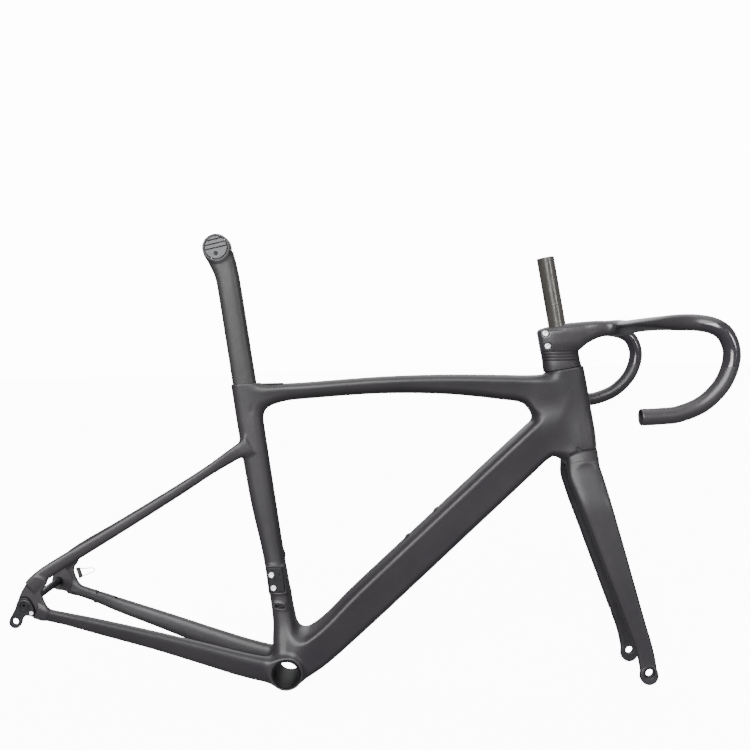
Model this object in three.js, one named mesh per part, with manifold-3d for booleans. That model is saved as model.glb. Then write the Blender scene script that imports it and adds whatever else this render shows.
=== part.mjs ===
// Carbon road frameset for disc brakes: frame, fork, one-piece handlebar and aero seatpost.
// It stands by itself on the bottom bracket shell and the two fork tips.
import * as THREE from 'three';
import { LoftGeometry } from 'three/addons/geometries/LoftGeometry.js';
import { mergeVertices } from 'three/addons/utils/BufferGeometryUtils.js';
import Module from 'manifold-3d';

const wasm = await Module();
wasm.setup();

// ---------------------------------------------------------------- driving dimensions
// Millimetres and degrees. x points forward, y to the rider's left and z up. Every place is
// measured from the centre of the bottom bracket, and the whole is set on the floor at the end.
const GAP = 0.3; // clearance between neighbouring pieces
const WALL = 1.9; // carbon wall
const BRACKET = { width: 86.5, bore: 41, liner: 46, shell: 52.4 };
const REAR_AXLE = { x: -404.7, z: 133.8, spacing: 142, hole: 12.4, plate: 4.5 };
const FRONT_AXLE = { x: 584, z: -6, spacing: 100, hole: 12.4, plate: 8 };
const HEAD = { x: 489.8, z: 351.5, lean: 8.8, length: 134.5, front: 30.7, rear: 28 };
const HEADSET = { upper: 41.8, lower: 52, height: 7, lip: 5 };
const STEERER = { diameter: 28.6, wall: 2.6, base: 39.6, top: 320.7 };
const SEAT = { x: -60.8, z: 471, lean: 7.45, depth: 38.6, width: 26.6 };
const POST = { bottom: -105, bore: -172, wall: 2.4 };
const POST_HEAD = { x: -100.2, z: 696.2, diameter: 46, width: 24, barrel: 37 };
const BAR = { diameter: 23.8, wall: 2.2 };

const steerLean = THREE.MathUtils.degToRad(HEAD.lean);
const seatLean = THREE.MathUtils.degToRad(SEAT.lean);
const vec = (x, y, z) => new THREE.Vector3(x, y, z);
const SIDES = { right: -1, left: 1 };

// ---------------------------------------------------------------- materials
const standard = (color, roughness, metalness) =>
  new THREE.MeshStandardMaterial({ color, roughness, metalness });
const paint = {
  carbon: standard(0x3f3c40, 0.5, 0.1),
  post: standard(0x55565a, 0.45, 0.1),
  rawCarbon: standard(0x4a473f, 0.25, 0.2),
  silver: standard(0xc9cbcf, 0.3, 1),
  blackAlloy: standard(0x16161a, 0.4, 0.8),
  liner: standard(0x8a8a8e, 0.4, 0.9),
  rubber: standard(0x1a1a1a, 0.8, 0),
  greyAlloy: standard(0x9a9a98, 0.45, 0.8),
};

// ---------------------------------------------------------------- solids from geometries
// A closed geometry as a solid, with shared corners merged and empty triangles left out.
function toSolid(geometry) {
  const bare = new THREE.BufferGeometry();
  bare.setAttribute('position', geometry.getAttribute('position'));
  bare.setIndex(geometry.getIndex());
  const merged = mergeVertices(bare, 1e-4);
  const index = [];
  for (let i = 0; i < merged.index.count; i += 3) {
    const [a, b, c] = [0, 1, 2].map((k) => merged.index.getX(i + k));
    if (a !== b && b !== c && c !== a) index.push(a, b, c);
  }
  const mesh = new wasm.Mesh({
    numProp: 3,
    vertProperties: merged.attributes.position.array,
    triVerts: new Uint32Array(index),
  });
  return new wasm.Manifold(mesh);
}

const placed = (geometry, matrix) => toSolid(geometry.applyMatrix4(matrix));

const object = new THREE.Group();

// Adds a solid to the object as a named mesh.
function addPiece(name, solid, material) {
  const { vertProperties, triVerts } = solid.getMesh();
  const geometry = new THREE.BufferGeometry();
  geometry.setAttribute('position', new THREE.BufferAttribute(vertProperties, 3));
  geometry.setIndex(new THREE.BufferAttribute(triVerts, 1));
  geometry.computeVertexNormals();
  const mesh = new THREE.Mesh(geometry, material);
  mesh.name = name;
  object.add(mesh);
}

// One closed ring of points, a superellipse on the two given half axes.
function ring(centre, across, up, power, sides) {
  const points = [];
  for (let i = 0; i < sides; i += 1) {
    const angle = (i / sides) * 2 * Math.PI;
    const c = Math.cos(angle);
    const s = Math.sin(angle);
    const point = centre.clone();
    point.addScaledVector(across, Math.sign(c) * Math.abs(c) ** (2 / power));
    point.addScaledVector(up, Math.sign(s) * Math.abs(s) ** (2 / power));
    points.push(point);
  }
  return points;
}

// A lofted solid through stations of { centre, up, halfUp, halfAcross }. The across direction is
// square to the run and to up. The ends run on by `overrun`, and `grow` thickens every section.
function loft(stations, { power = 2.3, sides = 18, grow = 0, overrun = 0 } = {}) {
  const count = stations.length;
  const tangents = stations.map((station, i) => {
    const next = stations[Math.min(i + 1, count - 1)].centre;
    return next.clone().sub(stations[Math.max(i - 1, 0)].centre).normalize();
  });
  const rings = stations.map(({ centre, up, halfUp, halfAcross }, i) => {
    const across = up.clone().cross(tangents[i]).normalize().multiplyScalar(halfAcross + grow);
    const height = up.clone().normalize().multiplyScalar(halfUp + grow);
    return ring(centre, across, height, power, sides);
  });
  if (overrun > 0) {
    const shifted = (points, tangent, distance) =>
      points.map((point) => point.clone().addScaledVector(tangent, distance));
    rings.unshift(shifted(rings[0], tangents[0], -overrun));
    rings.push(shifted(rings.at(-1), tangents.at(-1), overrun));
  }
  return toSolid(new LoftGeometry(rings, { capStart: true, capEnd: true }));
}

// Stations of a member that lies in the middle plane, from its two edges and its width.
function edgeStations(list, steps) {
  const curve = (pick) => new THREE.CatmullRomCurve3(list.map(pick), false, 'catmullrom', 0.5);
  const tops = curve(({ top: [x, z] }) => vec(x, 0, z));
  const bottoms = curve(({ bottom: [x, z] }) => vec(x, 0, z));
  const widths = curve(({ width }) => vec(width, 0, 0));
  return Array.from({ length: steps + 1 }, (_, i) => {
    const top = tops.getPoint(i / steps);
    const bottom = bottoms.getPoint(i / steps);
    const up = top.clone().sub(bottom);
    return {
      centre: top.clone().add(bottom).multiplyScalar(0.5),
      up,
      halfUp: up.length() / 2,
      halfAcross: widths.getPoint(i / steps).x / 2,
    };
  });
}

// Stations of a member that runs through space, from places with a height and a width. The
// height is measured as near to the `toward` direction as the run allows.
function pathStations(list, steps, toward) {
  const curve = (pick) => new THREE.CatmullRomCurve3(list.map(pick), false, 'catmullrom', 0.5);
  const places = curve(({ at }) => vec(...at));
  const sizes = curve(({ height, width }) => vec(height, width, 0));
  return Array.from({ length: steps + 1 }, (_, i) => {
    const tangent = places.getTangent(i / steps);
    const size = sizes.getPoint(i / steps);
    return {
      centre: places.getPoint(i / steps),
      up: toward.clone().addScaledVector(tangent, -toward.dot(tangent)).normalize(),
      halfUp: size.x / 2,
      halfAcross: size.y / 2,
    };
  });
}

const hollow = (stations, options = {}) =>
  loft(stations, options).subtract(loft(stations, { ...options, sides: 10, grow: -WALL, overrun: 12 }));

// A round solid of revolution about z, from [radius, height] points that close on themselves.
function lathe(points, segments = 24) {
  const profile = [...points, points[0]].map(([r, h]) => new THREE.Vector2(r, h));
  return new THREE.LatheGeometry(profile, segments).rotateX(Math.PI / 2);
}
const tubeProfile = (inner, outer, low, high) => [
  [inner, low],
  [outer, low],
  [outer, high],
  [inner, high],
];

// A round rod or disc with its axis along y.
function crossRod(diameter, x, z, yFrom, yTo, segments = 20) {
  const rod = new THREE.CylinderGeometry(diameter / 2, diameter / 2, Math.abs(yTo - yFrom), segments);
  return placed(rod, new THREE.Matrix4().makeTranslation(x, (yFrom + yTo) / 2, z));
}

// A flat plate with an outline in x and z, between two values of y.
function plate(outline, yFrom, yTo) {
  const shape = new THREE.Shape(outline.map(([x, z]) => new THREE.Vector2(x, z)));
  const low = Math.min(yFrom, yTo);
  const geometry = new THREE.ExtrudeGeometry(shape, { depth: Math.abs(yTo - yFrom), bevelEnabled: false });
  geometry.rotateX(Math.PI / 2);
  return placed(geometry, new THREE.Matrix4().makeTranslation(0, low + Math.abs(yTo - yFrom), 0));
}

const box = (x, y, z, sizeX, sizeY, sizeZ) =>
  placed(new THREE.BoxGeometry(sizeX, sizeY, sizeZ), new THREE.Matrix4().makeTranslation(x, y, z));

// ---------------------------------------------------------------- the two sloping axes
// `forward` is square to the axis in the middle plane and `along` runs up it.
const steerMatrix = new THREE.Matrix4()
  .makeTranslation(HEAD.x, 0, HEAD.z)
  .multiply(new THREE.Matrix4().makeRotationY(-steerLean));
const onSteerer = (geometry) => placed(geometry, steerMatrix);
const steererPoint = (forward, along) => {
  const point = vec(forward, 0, along).applyMatrix4(steerMatrix);
  return [point.x, point.z];
};
const seatMatrix = new THREE.Matrix4()
  .makeTranslation(SEAT.x, 0, SEAT.z)
  .multiply(new THREE.Matrix4().makeRotationY(-seatLean));
const seatPoint = (forward, along) => {
  const point = vec(forward, 0, along).applyMatrix4(seatMatrix);
  return [point.x, point.z];
};
// The point where the line `forward` of the steering axis reaches the height z.
const levelPoint = (forward, z) => {
  const along = (z - HEAD.z - forward * Math.sin(steerLean)) / Math.cos(steerLean);
  return steererPoint(forward, along);
};

// ---------------------------------------------------------------- front triangle
const crownTop = -3; // height of the crown race seat on the steering axis
const headFoot = crownTop + GAP;
const headSection = (along, front, width) => ({
  top: steererPoint(front, along),
  bottom: steererPoint(-HEAD.rear, along),
  width,
});
const headStations = edgeStations(
  [
    headSection(headFoot, 28.6, 58),
    headSection(26, HEAD.front, 55),
    headSection(65, HEAD.front, 47),
    headSection(105, HEAD.front, 48),
    headSection(HEAD.length, 30, 50),
  ],
  6,
);
const seatEdges = [
  { top: [-83.3, 471], bottom: [-38.6, 473], width: 31 },
  { top: [-73.8, 397], bottom: [-30, 397], width: 31 },
  { top: [-56, 277], bottom: [-15, 277], width: 32 },
  { top: [-38, 187], bottom: [-3.3, 187], width: 36 },
  { top: [-24.8, 90], bottom: [12.4, 90], width: 50 },
  { top: [-25, 22], bottom: [24, 22], width: 74 },
];
const topTubeEdges = [
  { top: [-52, 470.5], bottom: [-44, 404], width: 31 },
  { top: [-28, 470.5], bottom: [-22, 429], width: 31 },
  { top: [0, 471], bottom: [6, 441.5], width: 32 },
  { top: [43, 472.5], bottom: [46, 445], width: 34 },
  { top: [162, 478.6], bottom: [162, 450.3], width: 36 },
  { top: [268, 479.7], bottom: [268, 447], width: 38 },
  { top: [361, 477], bottom: [361, 436], width: 42 },
  { top: [402, 475.3], bottom: [399, 428], width: 45 },
  { top: [432, 475.5], bottom: [420, 405], width: 47 },
  { top: [452, 476], bottom: [446, 396], width: 46 },
];
const downTubeEdges = [
  { top: [460, 440], bottom: [476, 338], width: 46 },
  { top: [432, 420], bottom: [456, 338], width: 48 },
  { top: [411, 399], bottom: [440, 336.5], width: 50 },
  { top: [354, 348], bottom: [398, 299.5], width: 52 },
  { top: [178, 190], bottom: [222, 141.3], width: 54 },
  { top: [107, 126], bottom: [150, 77], width: 58 },
  { top: [62, 86], bottom: [86.6, 20.6], width: 68 },
  { top: [34, 71], bottom: [50, -9], width: 76 },
  { top: [8, 84], bottom: [18, -22], width: 78 },
];
const seatStations = edgeStations(seatEdges, 6);
const topTubeStations = edgeStations(topTubeEdges, 9);
const downTubeStations = edgeStations(downTubeEdges, 8);

const bearingSeats = onSteerer(
  lathe([
    [0, headFoot - 10],
    [HEADSET.lower / 2 + GAP, headFoot - 10],
    [HEADSET.lower / 2 + GAP, HEADSET.lip + GAP],
    [22.5, HEADSET.lip + GAP],
    [18.3, 60],
    [18.3, HEAD.length - HEADSET.height - 2 * GAP],
    [HEADSET.upper / 2 + GAP, HEAD.length - HEADSET.height - 2 * GAP],
    [HEADSET.upper / 2 + GAP, HEAD.length + 10],
    [0, HEAD.length + 10],
  ]),
);
const headTube = loft(headStations, { power: 2 }).subtract(bearingSeats);
const headSpace = loft(headStations, { power: 2, grow: GAP, overrun: 12 });

const CLEAR_WIDTH = 120; // wider than the bracket, so that a cut runs right through
const shellTube = (diameter, width) => crossRod(diameter, 0, 0, -width / 2, width / 2, 28);
const shellSpace = shellTube(BRACKET.shell + 2 * GAP, CLEAR_WIDTH);
const linerSpace = shellTube(BRACKET.liner + 2 * GAP, CLEAR_WIDTH);
const bracketBore = shellTube(BRACKET.bore, CLEAR_WIDTH);
const bracketShell = shellTube(BRACKET.shell, BRACKET.width).subtract(linerSpace);
const bracketLiner = shellTube(BRACKET.liner, BRACKET.width).subtract(bracketBore);

// The straight aero bore that takes the seatpost.
const postSection = (along, grow = 0) => ({
  top: seatPoint(-SEAT.depth / 2 - grow, along),
  bottom: seatPoint(SEAT.depth / 2 + grow, along),
  width: SEAT.width + 2 * grow,
});
const boreStations = edgeStations([postSection(POST.bore, GAP), postSection(20, GAP)], 2);
const postBore = loft(boreStations, { power: 2.6 });
const seatTube = hollow(seatStations, { power: 2.3 }).subtract(postBore).subtract(shellSpace);
const seatSpace = loft(seatStations, { power: 2.3, grow: GAP, overrun: 12 });
const topTube = hollow(topTubeStations, { power: 2.6 }).subtract(seatSpace).subtract(headSpace);
const topSpace = loft(topTubeStations, { power: 2.6, grow: GAP });
// The space that the crown's shoulders need as the fork turns.
const crownSweep = onSteerer(
  lathe([
    [0, -60],
    [38, -60],
    [38, -21],
    [34.4, -15],
    [31.2, -9],
    [29.5, -1],
    [0, -1],
  ]),
);
const downTube = hollow(downTubeStations, { power: 2.8 })
  .subtract(headSpace)
  .subtract(topSpace)
  .subtract(seatSpace)
  .subtract(shellSpace)
  .subtract(crownSweep);

// ---------------------------------------------------------------- fittings on the tubes
// A round rod in a plane of constant y, from one point to another.
function rod(diameter, [fromX, fromZ], [toX, toZ], y = 0, segments = 10) {
  const from = vec(fromX, y, fromZ);
  const to = vec(toX, y, toZ);
  const length = from.distanceTo(to);
  const turn = new THREE.Quaternion().setFromUnitVectors(vec(0, 1, 0), to.clone().sub(from).normalize());
  const cylinder = new THREE.CylinderGeometry(diameter / 2, diameter / 2, length, segments);
  const middle = from.clone().lerp(to, 0.5);
  return placed(cylinder, new THREE.Matrix4().compose(middle, turn, vec(1, 1, 1)));
}

// Bottle-cage bolts: `at` is on the tube's surface and `out` is the direction away from it.
const BOTTLE = { head: 9, proud: 2.4, shank: 5, depth: 9 };
const bottleBolts = {
  seat_tube_upper: { at: [-3.4, 188], out: [0.99, 0.14] },
  seat_tube_lower: { at: [5.2, 124], out: [0.99, 0.14] },
  down_tube_lower: { at: [203, 212.6], out: [-0.669, 0.743] },
  down_tube_upper: { at: [251, 255.6], out: [-0.669, 0.743] },
};
const bottleHoles = { seat_tube: [], down_tube: [] };
for (const [name, { at: [x, z], out: [dx, dz] }] of Object.entries(bottleBolts)) {
  const along = (distance) => [x + dx * distance, z + dz * distance];
  const shank = rod(BOTTLE.shank, along(-BOTTLE.depth), along(BOTTLE.proud - 1));
  const head = rod(BOTTLE.head, along(GAP), along(BOTTLE.proud), 0, 12);
  bottleHoles[name.slice(0, 9)].push(rod(BOTTLE.shank + 2 * GAP, along(-20), along(20)));
  bottleHoles[name.slice(0, 9)].push(rod(BOTTLE.head + 2 * GAP, along(0), along(20), 0, 12));
  addPiece(`bottle_bolt_${name}`, head.add(shank), paint.blackAlloy);
}

// The front derailleur mount is let into the right side of the seat tube, with two bolts.
const mountOutline = (grow) => [
  [-29.5 - grow, 170 + grow],
  [-5 + grow, 170 + grow],
  [-1 + grow, 129 - grow],
  [-25.5 - grow, 129 - grow],
];
const MOUNT = { inner: -11, face: -21, boltHead: 8.8, boltShank: 5, boltEnd: -13 };
const mountBolts = { upper: [-22.5, 158], lower: [-19.5, 136.5] };
let derailleurMount = plate(mountOutline(0), MOUNT.inner, MOUNT.face);
const mountSpace = plate(mountOutline(GAP), MOUNT.inner + GAP, MOUNT.face - 10);
for (const [name, [x, z]] of Object.entries(mountBolts)) {
  derailleurMount = derailleurMount.subtract(crossRod(MOUNT.boltShank + 2 * GAP, x, z, 0, -40, 12));
  const head = crossRod(MOUNT.boltHead, x, z, MOUNT.face - GAP, MOUNT.face - 2.6);
  const shank = crossRod(MOUNT.boltShank, x, z, MOUNT.boltEnd, MOUNT.face - 1, 12);
  addPiece(`derailleur_mount_bolt_${name}`, head.add(shank), paint.silver);
}
addPiece('front_derailleur_mount', derailleurMount, paint.blackAlloy);

// The lip of the slot where the front derailleur cable leaves the seat tube.
const portOutline = (grow) => [
  [-19 - grow, 111 + grow],
  [-4 + grow, 108 + grow],
  [-2 + grow, 102 - grow],
  [-17 - grow, 104 - grow],
];
const PORT = { inner: -18, face: -24, lip: 1.6 };
const port = plate(portOutline(0), PORT.inner, PORT.face).subtract(plate(portOutline(-PORT.lip), 0, -60));
addPiece('derailleur_cable_port', port, paint.blackAlloy);
const portSpace = plate(portOutline(GAP), PORT.inner + GAP, PORT.face - 10);

// The seatpost is held by a wedge in front of it, drawn up by a bolt under a small cover.
const WEDGE = { low: -26, high: -9, rear: SEAT.depth / 2 + GAP, thick: 13, halfWidth: 8, bolt: 5 };
const COVER = { x: -16, z: 471.5, length: 37, width: 18, height: 3 };
const wedgeBlock = (grow) =>
  plate(
    [
      seatPoint(WEDGE.rear - grow, WEDGE.low - grow),
      seatPoint(WEDGE.rear + WEDGE.thick - 3 + grow, WEDGE.low - grow),
      seatPoint(WEDGE.rear + WEDGE.thick + grow, WEDGE.high + grow),
      seatPoint(WEDGE.rear - grow, WEDGE.high + grow),
    ],
    -WEDGE.halfWidth - grow,
    WEDGE.halfWidth + grow,
  );
const boltLine = WEDGE.rear + WEDGE.thick / 2;
const clampHole = rod(WEDGE.bolt + 2 * GAP, seatPoint(boltLine, WEDGE.low - 5), seatPoint(boltLine, -5));
const wedgeBolt = rod(WEDGE.bolt, seatPoint(boltLine, WEDGE.low - 4), seatPoint(boltLine, -6.5));
const coverPlate = (grow) => {
  const { x, z, length, width, height } = COVER;
  return box(x, 0, z, length + 2 * grow, width + 2 * grow, height + 2 * grow);
};
addPiece('seatpost_wedge', wedgeBlock(0).subtract(clampHole), paint.blackAlloy);
addPiece('seatpost_wedge_bolt', wedgeBolt, paint.silver);
addPiece('seatpost_wedge_cover', coverPlate(0), paint.rubber);
const clampSpace = wedgeBlock(GAP).add(clampHole).add(coverPlate(GAP));

addPiece('head_tube', headTube, paint.carbon);
addPiece('top_tube', topTube.subtract(clampSpace), paint.carbon);
addPiece('down_tube', wasm.Manifold.difference([downTube, ...bottleHoles.down_tube]), paint.carbon);
const seatTubeCuts = [clampSpace, mountSpace, portSpace, ...bottleHoles.seat_tube];
addPiece('seat_tube', wasm.Manifold.difference([seatTube, ...seatTubeCuts]), paint.carbon);
addPiece('bottom_bracket_shell', bracketShell, paint.carbon);
addPiece('bottom_bracket_liner', bracketLiner, paint.liner);

// ---------------------------------------------------------------- rear triangle
// Stays and dropouts are made for one side and repeated for the other: `side` is -1 or 1.
const stayStations = {
  chainstay: (side) =>
    pathStations(
      [
        { at: [-6, 27 * side, -1], height: 42, width: 22 },
        { at: [-40, 31 * side, 7], height: 40, width: 20 },
        { at: [-80, 34 * side, 18.5], height: 38, width: 18 },
        { at: [-136, 39 * side, 38], height: 34, width: 17 },
        { at: [-210, 48 * side, 64], height: 28.5, width: 16 },
        { at: [-292, 59 * side, 91], height: 23.5, width: 15 },
        { at: [-338, 67 * side, 106.5], height: 19.5, width: 13 },
        { at: [-366, 71.5 * side, 115], height: 19, width: 11 },
      ],
      8,
      vec(0, 0, 1),
    ),
  seatstay: (side) =>
    pathStations(
      [
        { at: [-56, 11 * side, 371], height: 26, width: 12 },
        { at: [-80, 14 * side, 357], height: 22, width: 11 },
        { at: [-118, 25 * side, 333.5], height: 17, width: 11 },
        { at: [-166, 34 * side, 303.5], height: 16, width: 11.5 },
        { at: [-230, 43 * side, 265.5], height: 18, width: 11.5 },
        { at: [-292, 53 * side, 229.5], height: 19, width: 11.5 },
        { at: [-345, 64 * side, 199.5], height: 20.5, width: 11.5 },
        { at: [-378, 71 * side, 179], height: 21, width: 10.5 },
      ],
      8,
      vec(0, 0, 1),
    ),
};
const dropoutFace = REAR_AXLE.spacing / 2;
const dropoutOutline = [
  [-389, 179],
  [-403, 166],
  [-412, 151],
  [-417.5, 134],
  [-417, 124],
  [-409, 117.5],
  [-398, 116],
  [-388, 112],
  [-369, 104.5],
  [-362, 125],
  [-371, 132],
  [-377, 144],
  [-378, 155],
  [-370, 170],
];
const axleBore = (axle, from, to) => crossRod(axle.hole, axle.x, axle.z, from, to);
const rearBrakeSleeves = [
  ['front', -304, 93, 61.2],
  ['rear', -337, 104.6, 66.8],
];
const REAR_INSERT = 20.4;
const SLEEVE = { outer: 8.4, inner: 5.2, half: 12.7 };
const hangerBolt = { x: -394, z: 121.5, head: 6.4, shank: 3.2 };

const hangerShape = [
  [-416, 139],
  [-410, 146],
  [-400, 145],
  [-393, 136],
  [-389.5, 126],
  [-389.5, 119.5],
  [-394, 116.6],
  [-401, 118],
  [-407, 113.5],
  [-409.5, 105],
  [-415, 99],
  [-423, 98.8],
  [-428.5, 104],
  [-429, 111],
  [-424.5, 120],
  [-419, 130],
];
// The hanger's outline, made larger about its middle for the recess that takes it.
const hangerOutline = (grow) => {
  const [centreX, centreZ] = [-409, 124];
  const scale = 1 + grow / 16;
  return hangerShape.map(([x, z]) => [centreX + (x - centreX) * scale, centreZ + (z - centreZ) * scale]);
};

for (const [name, side] of Object.entries(SIDES)) {
  const outline = plate(dropoutOutline, side * dropoutFace, side * (dropoutFace + REAR_AXLE.plate + 3));
  let dropout = outline.subtract(axleBore(REAR_AXLE, -100, 100));
  const outer = side * (dropoutFace + REAR_AXLE.plate);
  if (name === 'right') {
    const hangerSpace = plate(hangerOutline(GAP), outer, side * 100);
    const boltSpace = crossRod(hangerBolt.shank + 2 * GAP, hangerBolt.x, hangerBolt.z, 0, -100, 12);
    dropout = dropout.subtract(hangerSpace).subtract(boltSpace);
  } else {
    const { x, z } = REAR_AXLE;
    dropout = dropout.subtract(crossRod(REAR_INSERT + 2 * GAP, x, z, outer, side * 100));
    const insert = crossRod(REAR_INSERT, x, z, outer + side * GAP, outer + side * 2.6);
    addPiece('rear_axle_insert', insert.subtract(axleBore(REAR_AXLE, 0, 100)), paint.blackAlloy);
  }
  addPiece(`dropout_${name}`, dropout, paint.carbon);

  const brakeSpace = [];
  if (name === 'left') {
    for (const [place, x, z, y] of rearBrakeSleeves) {
      const through = (diameter, half) =>
        rod(diameter, [x - half * 0.33, z - half * 0.944], [x + half * 0.33, z + half * 0.944], y, 12);
      const sleeve = through(SLEEVE.outer, SLEEVE.half).subtract(through(SLEEVE.inner, 20));
      addPiece(`rear_brake_sleeve_${place}`, sleeve, paint.greyAlloy);
      brakeSpace.push(through(SLEEVE.outer + 2 * GAP, 25));
    }
  }
  const dropoutSpace = plate(dropoutOutline, side * (dropoutFace - 4), side * (dropoutFace + 14));
  const chain = loft(stayStations.chainstay(side), { power: 2.8, sides: 14 });
  const chainstay = chain.subtract(shellSpace).subtract(seatSpace).subtract(dropoutSpace);
  addPiece(`chainstay_${name}`, wasm.Manifold.difference([chainstay, ...brakeSpace]), paint.carbon);
  const seat = loft(stayStations.seatstay(side), { power: 2.4, sides: 12 });
  addPiece(`seatstay_${name}`, seat.subtract(seatSpace).subtract(dropoutSpace), paint.carbon);
}

// The replaceable derailleur hanger hooks down behind the right end of the rear axle.
const hangerFace = -(dropoutFace + REAR_AXLE.plate + GAP);
const hangerHole = { x: -419, z: 109.5, diameter: 9.2 };
const onHangerBolt = (diameter, from, to, segments) =>
  crossRod(diameter, hangerBolt.x, hangerBolt.z, from, to, segments);
const hanger = plate(hangerOutline(0), hangerFace, hangerFace - 4)
  .subtract(axleBore(REAR_AXLE, 0, -100))
  .subtract(crossRod(hangerHole.diameter, hangerHole.x, hangerHole.z, 0, -100))
  .subtract(onHangerBolt(hangerBolt.shank + 2 * GAP, 0, -100, 12))
  .subtract(onHangerBolt(hangerBolt.head + 2 * GAP, hangerFace - 2.2, -100, 16));
addPiece('derailleur_hanger', hanger, paint.blackAlloy);
const hangerScrewHead = onHangerBolt(hangerBolt.head, hangerFace - 2.5, hangerFace - 4.2, 16);
const hangerScrewShank = onHangerBolt(hangerBolt.shank, -dropoutFace - 1, hangerFace - 3, 12);
addPiece('hanger_bolt', hangerScrewHead.add(hangerScrewShank), paint.silver);

// The rear through axle joins the dropouts. Its head lies on the left insert and its plain end,
// in place of a thread, fills the hanger's hole.
const THROUGH_AXLE = { diameter: 12, head: 17, socket: 6, from: hangerFace - 3.6 };
const insertFace = dropoutFace + REAR_AXLE.plate + 2.6;
const onRearAxle = (diameter, from, to, segments) =>
  crossRod(diameter, REAR_AXLE.x, REAR_AXLE.z, from, to, segments);
const throughAxle = onRearAxle(THROUGH_AXLE.diameter, THROUGH_AXLE.from, insertFace + 1)
  .add(onRearAxle(THROUGH_AXLE.head, insertFace + GAP, insertFace + 2.8, 24))
  .subtract(onRearAxle(THROUGH_AXLE.socket, insertFace - 6, insertFace + 10, 6))
  .subtract(onRearAxle(THROUGH_AXLE.socket, THROUGH_AXLE.from + 5, THROUGH_AXLE.from - 10, 6));
addPiece('rear_through_axle', throughAxle, paint.blackAlloy);

// A thin steel guide wire waits in the brake hose channel of the left dropout: both of its ends go
// into the dropout's inner edge and a plastic clip holds the two strands together.
const WIRE = { diameter: 1.4, y: 73 };
const wirePoints = [
  [-376.6, WIRE.y, 152.4],
  [-372, WIRE.y - 0.6, 153.2],
  [-358, WIRE.y - 2.6, 154.4],
  [-346, WIRE.y - 4.4, 155.4],
  [-340.5, WIRE.y - 5.4, 154],
  [-341.5, WIRE.y - 5.6, 150.4],
  [-350, WIRE.y - 4.8, 146.4],
  [-362, WIRE.y - 3, 141.4],
  [-367, WIRE.y - 1.6, 138.2],
  [-371.2, WIRE.y, 135.4],
];
const wirePath = new THREE.CatmullRomCurve3(wirePoints.map((point) => vec(...point)));
const circle = (diameter) => new THREE.Shape().absarc(0, 0, diameter / 2, 0, 2 * Math.PI);
const sweep = (diameter, steps) => {
  const options = { steps, extrudePath: wirePath, bevelEnabled: false, curveSegments: 4 };
  return toSolid(new THREE.ExtrudeGeometry(circle(diameter), options));
};
const WIRE_STEPS = 26;
addPiece('guide_wire', sweep(WIRE.diameter, WIRE_STEPS), paint.silver);
const clipShape = [
  [-374.2, 155.6],
  [-367.4, 156.4],
  [-362.6, 139.6],
  [-368.4, 136.4],
];
const wireSpace = sweep(WIRE.diameter + 2 * GAP, WIRE_STEPS);
const clip = plate(clipShape, WIRE.y - 3.4, WIRE.y + 0.6).subtract(wireSpace);
addPiece('guide_wire_clip', clip, paint.rubber);

// ---------------------------------------------------------------- fork
const legStations = (side) =>
  pathStations(
    [
      { at: [493, 31 * side, 326], height: 57, width: 24 },
      { at: [495, 36 * side, 306], height: 56, width: 23 },
      { at: [505, 41 * side, 272], height: 51.5, width: 20 },
      { at: [533.4, 47 * side, 176], height: 41, width: 17 },
      { at: [563.5, 51.5 * side, 77], height: 31, width: 13 },
      { at: [575.5, 53.5 * side, 38], height: 28, width: 10 },
      { at: [581.5, 54 * side, 10], height: 27.5, width: 8 },
      { at: [584, 54 * side, -11], height: 27, width: 8 },
    ],
    8,
    vec(1, 0, 0),
  );
const frontBrakeInserts = [
  ['upper', 528.5, 131, 50],
  ['lower', 552.5, 65, 52.6],
];
const tipCircle = { x: 584, z: -11.5, diameter: 29.4 };
const crownFoot = -21;
const crownStations = edgeStations(
  [
    { top: steererPoint(28.4, crownTop), bottom: steererPoint(-26.5, crownTop), width: 55 },
    { top: steererPoint(29.2, -9), bottom: steererPoint(-27, -9), width: 60 },
    { top: steererPoint(30.2, -15), bottom: steererPoint(-29, -15), width: 74 },
    { top: steererPoint(31, crownFoot), bottom: steererPoint(-30, crownFoot), width: 86 },
  ],
  4,
);
const TAPER = { low: 14, high: 60, wall: 3 }; // the steerer narrows between these heights
const steererProfile = [
  [STEERER.diameter / 2 - STEERER.wall, STEERER.top],
  [STEERER.diameter / 2 - STEERER.wall, TAPER.high],
  [STEERER.base / 2 - TAPER.wall, TAPER.low],
  [STEERER.base / 2 - TAPER.wall, crownFoot + 3],
  [STEERER.base / 2, crownFoot + 3],
  [STEERER.base / 2, TAPER.low],
  [STEERER.diameter / 2, TAPER.high],
  [STEERER.diameter / 2, STEERER.top],
];
const steerer = onSteerer(lathe(steererProfile));
// A round cut on the steering axis between two heights.
const steererHole = (radius, low, high) => onSteerer(lathe(tubeProfile(0, radius, low, high)));
const steererSpace = steererHole(STEERER.base / 2 + GAP, -60, 20);
const crown = loft(crownStations, { power: 2.2, sides: 20 }).subtract(steererSpace);
addPiece('steerer_tube', steerer, paint.rawCarbon);
addPiece('fork_crown', crown, paint.carbon);

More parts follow.
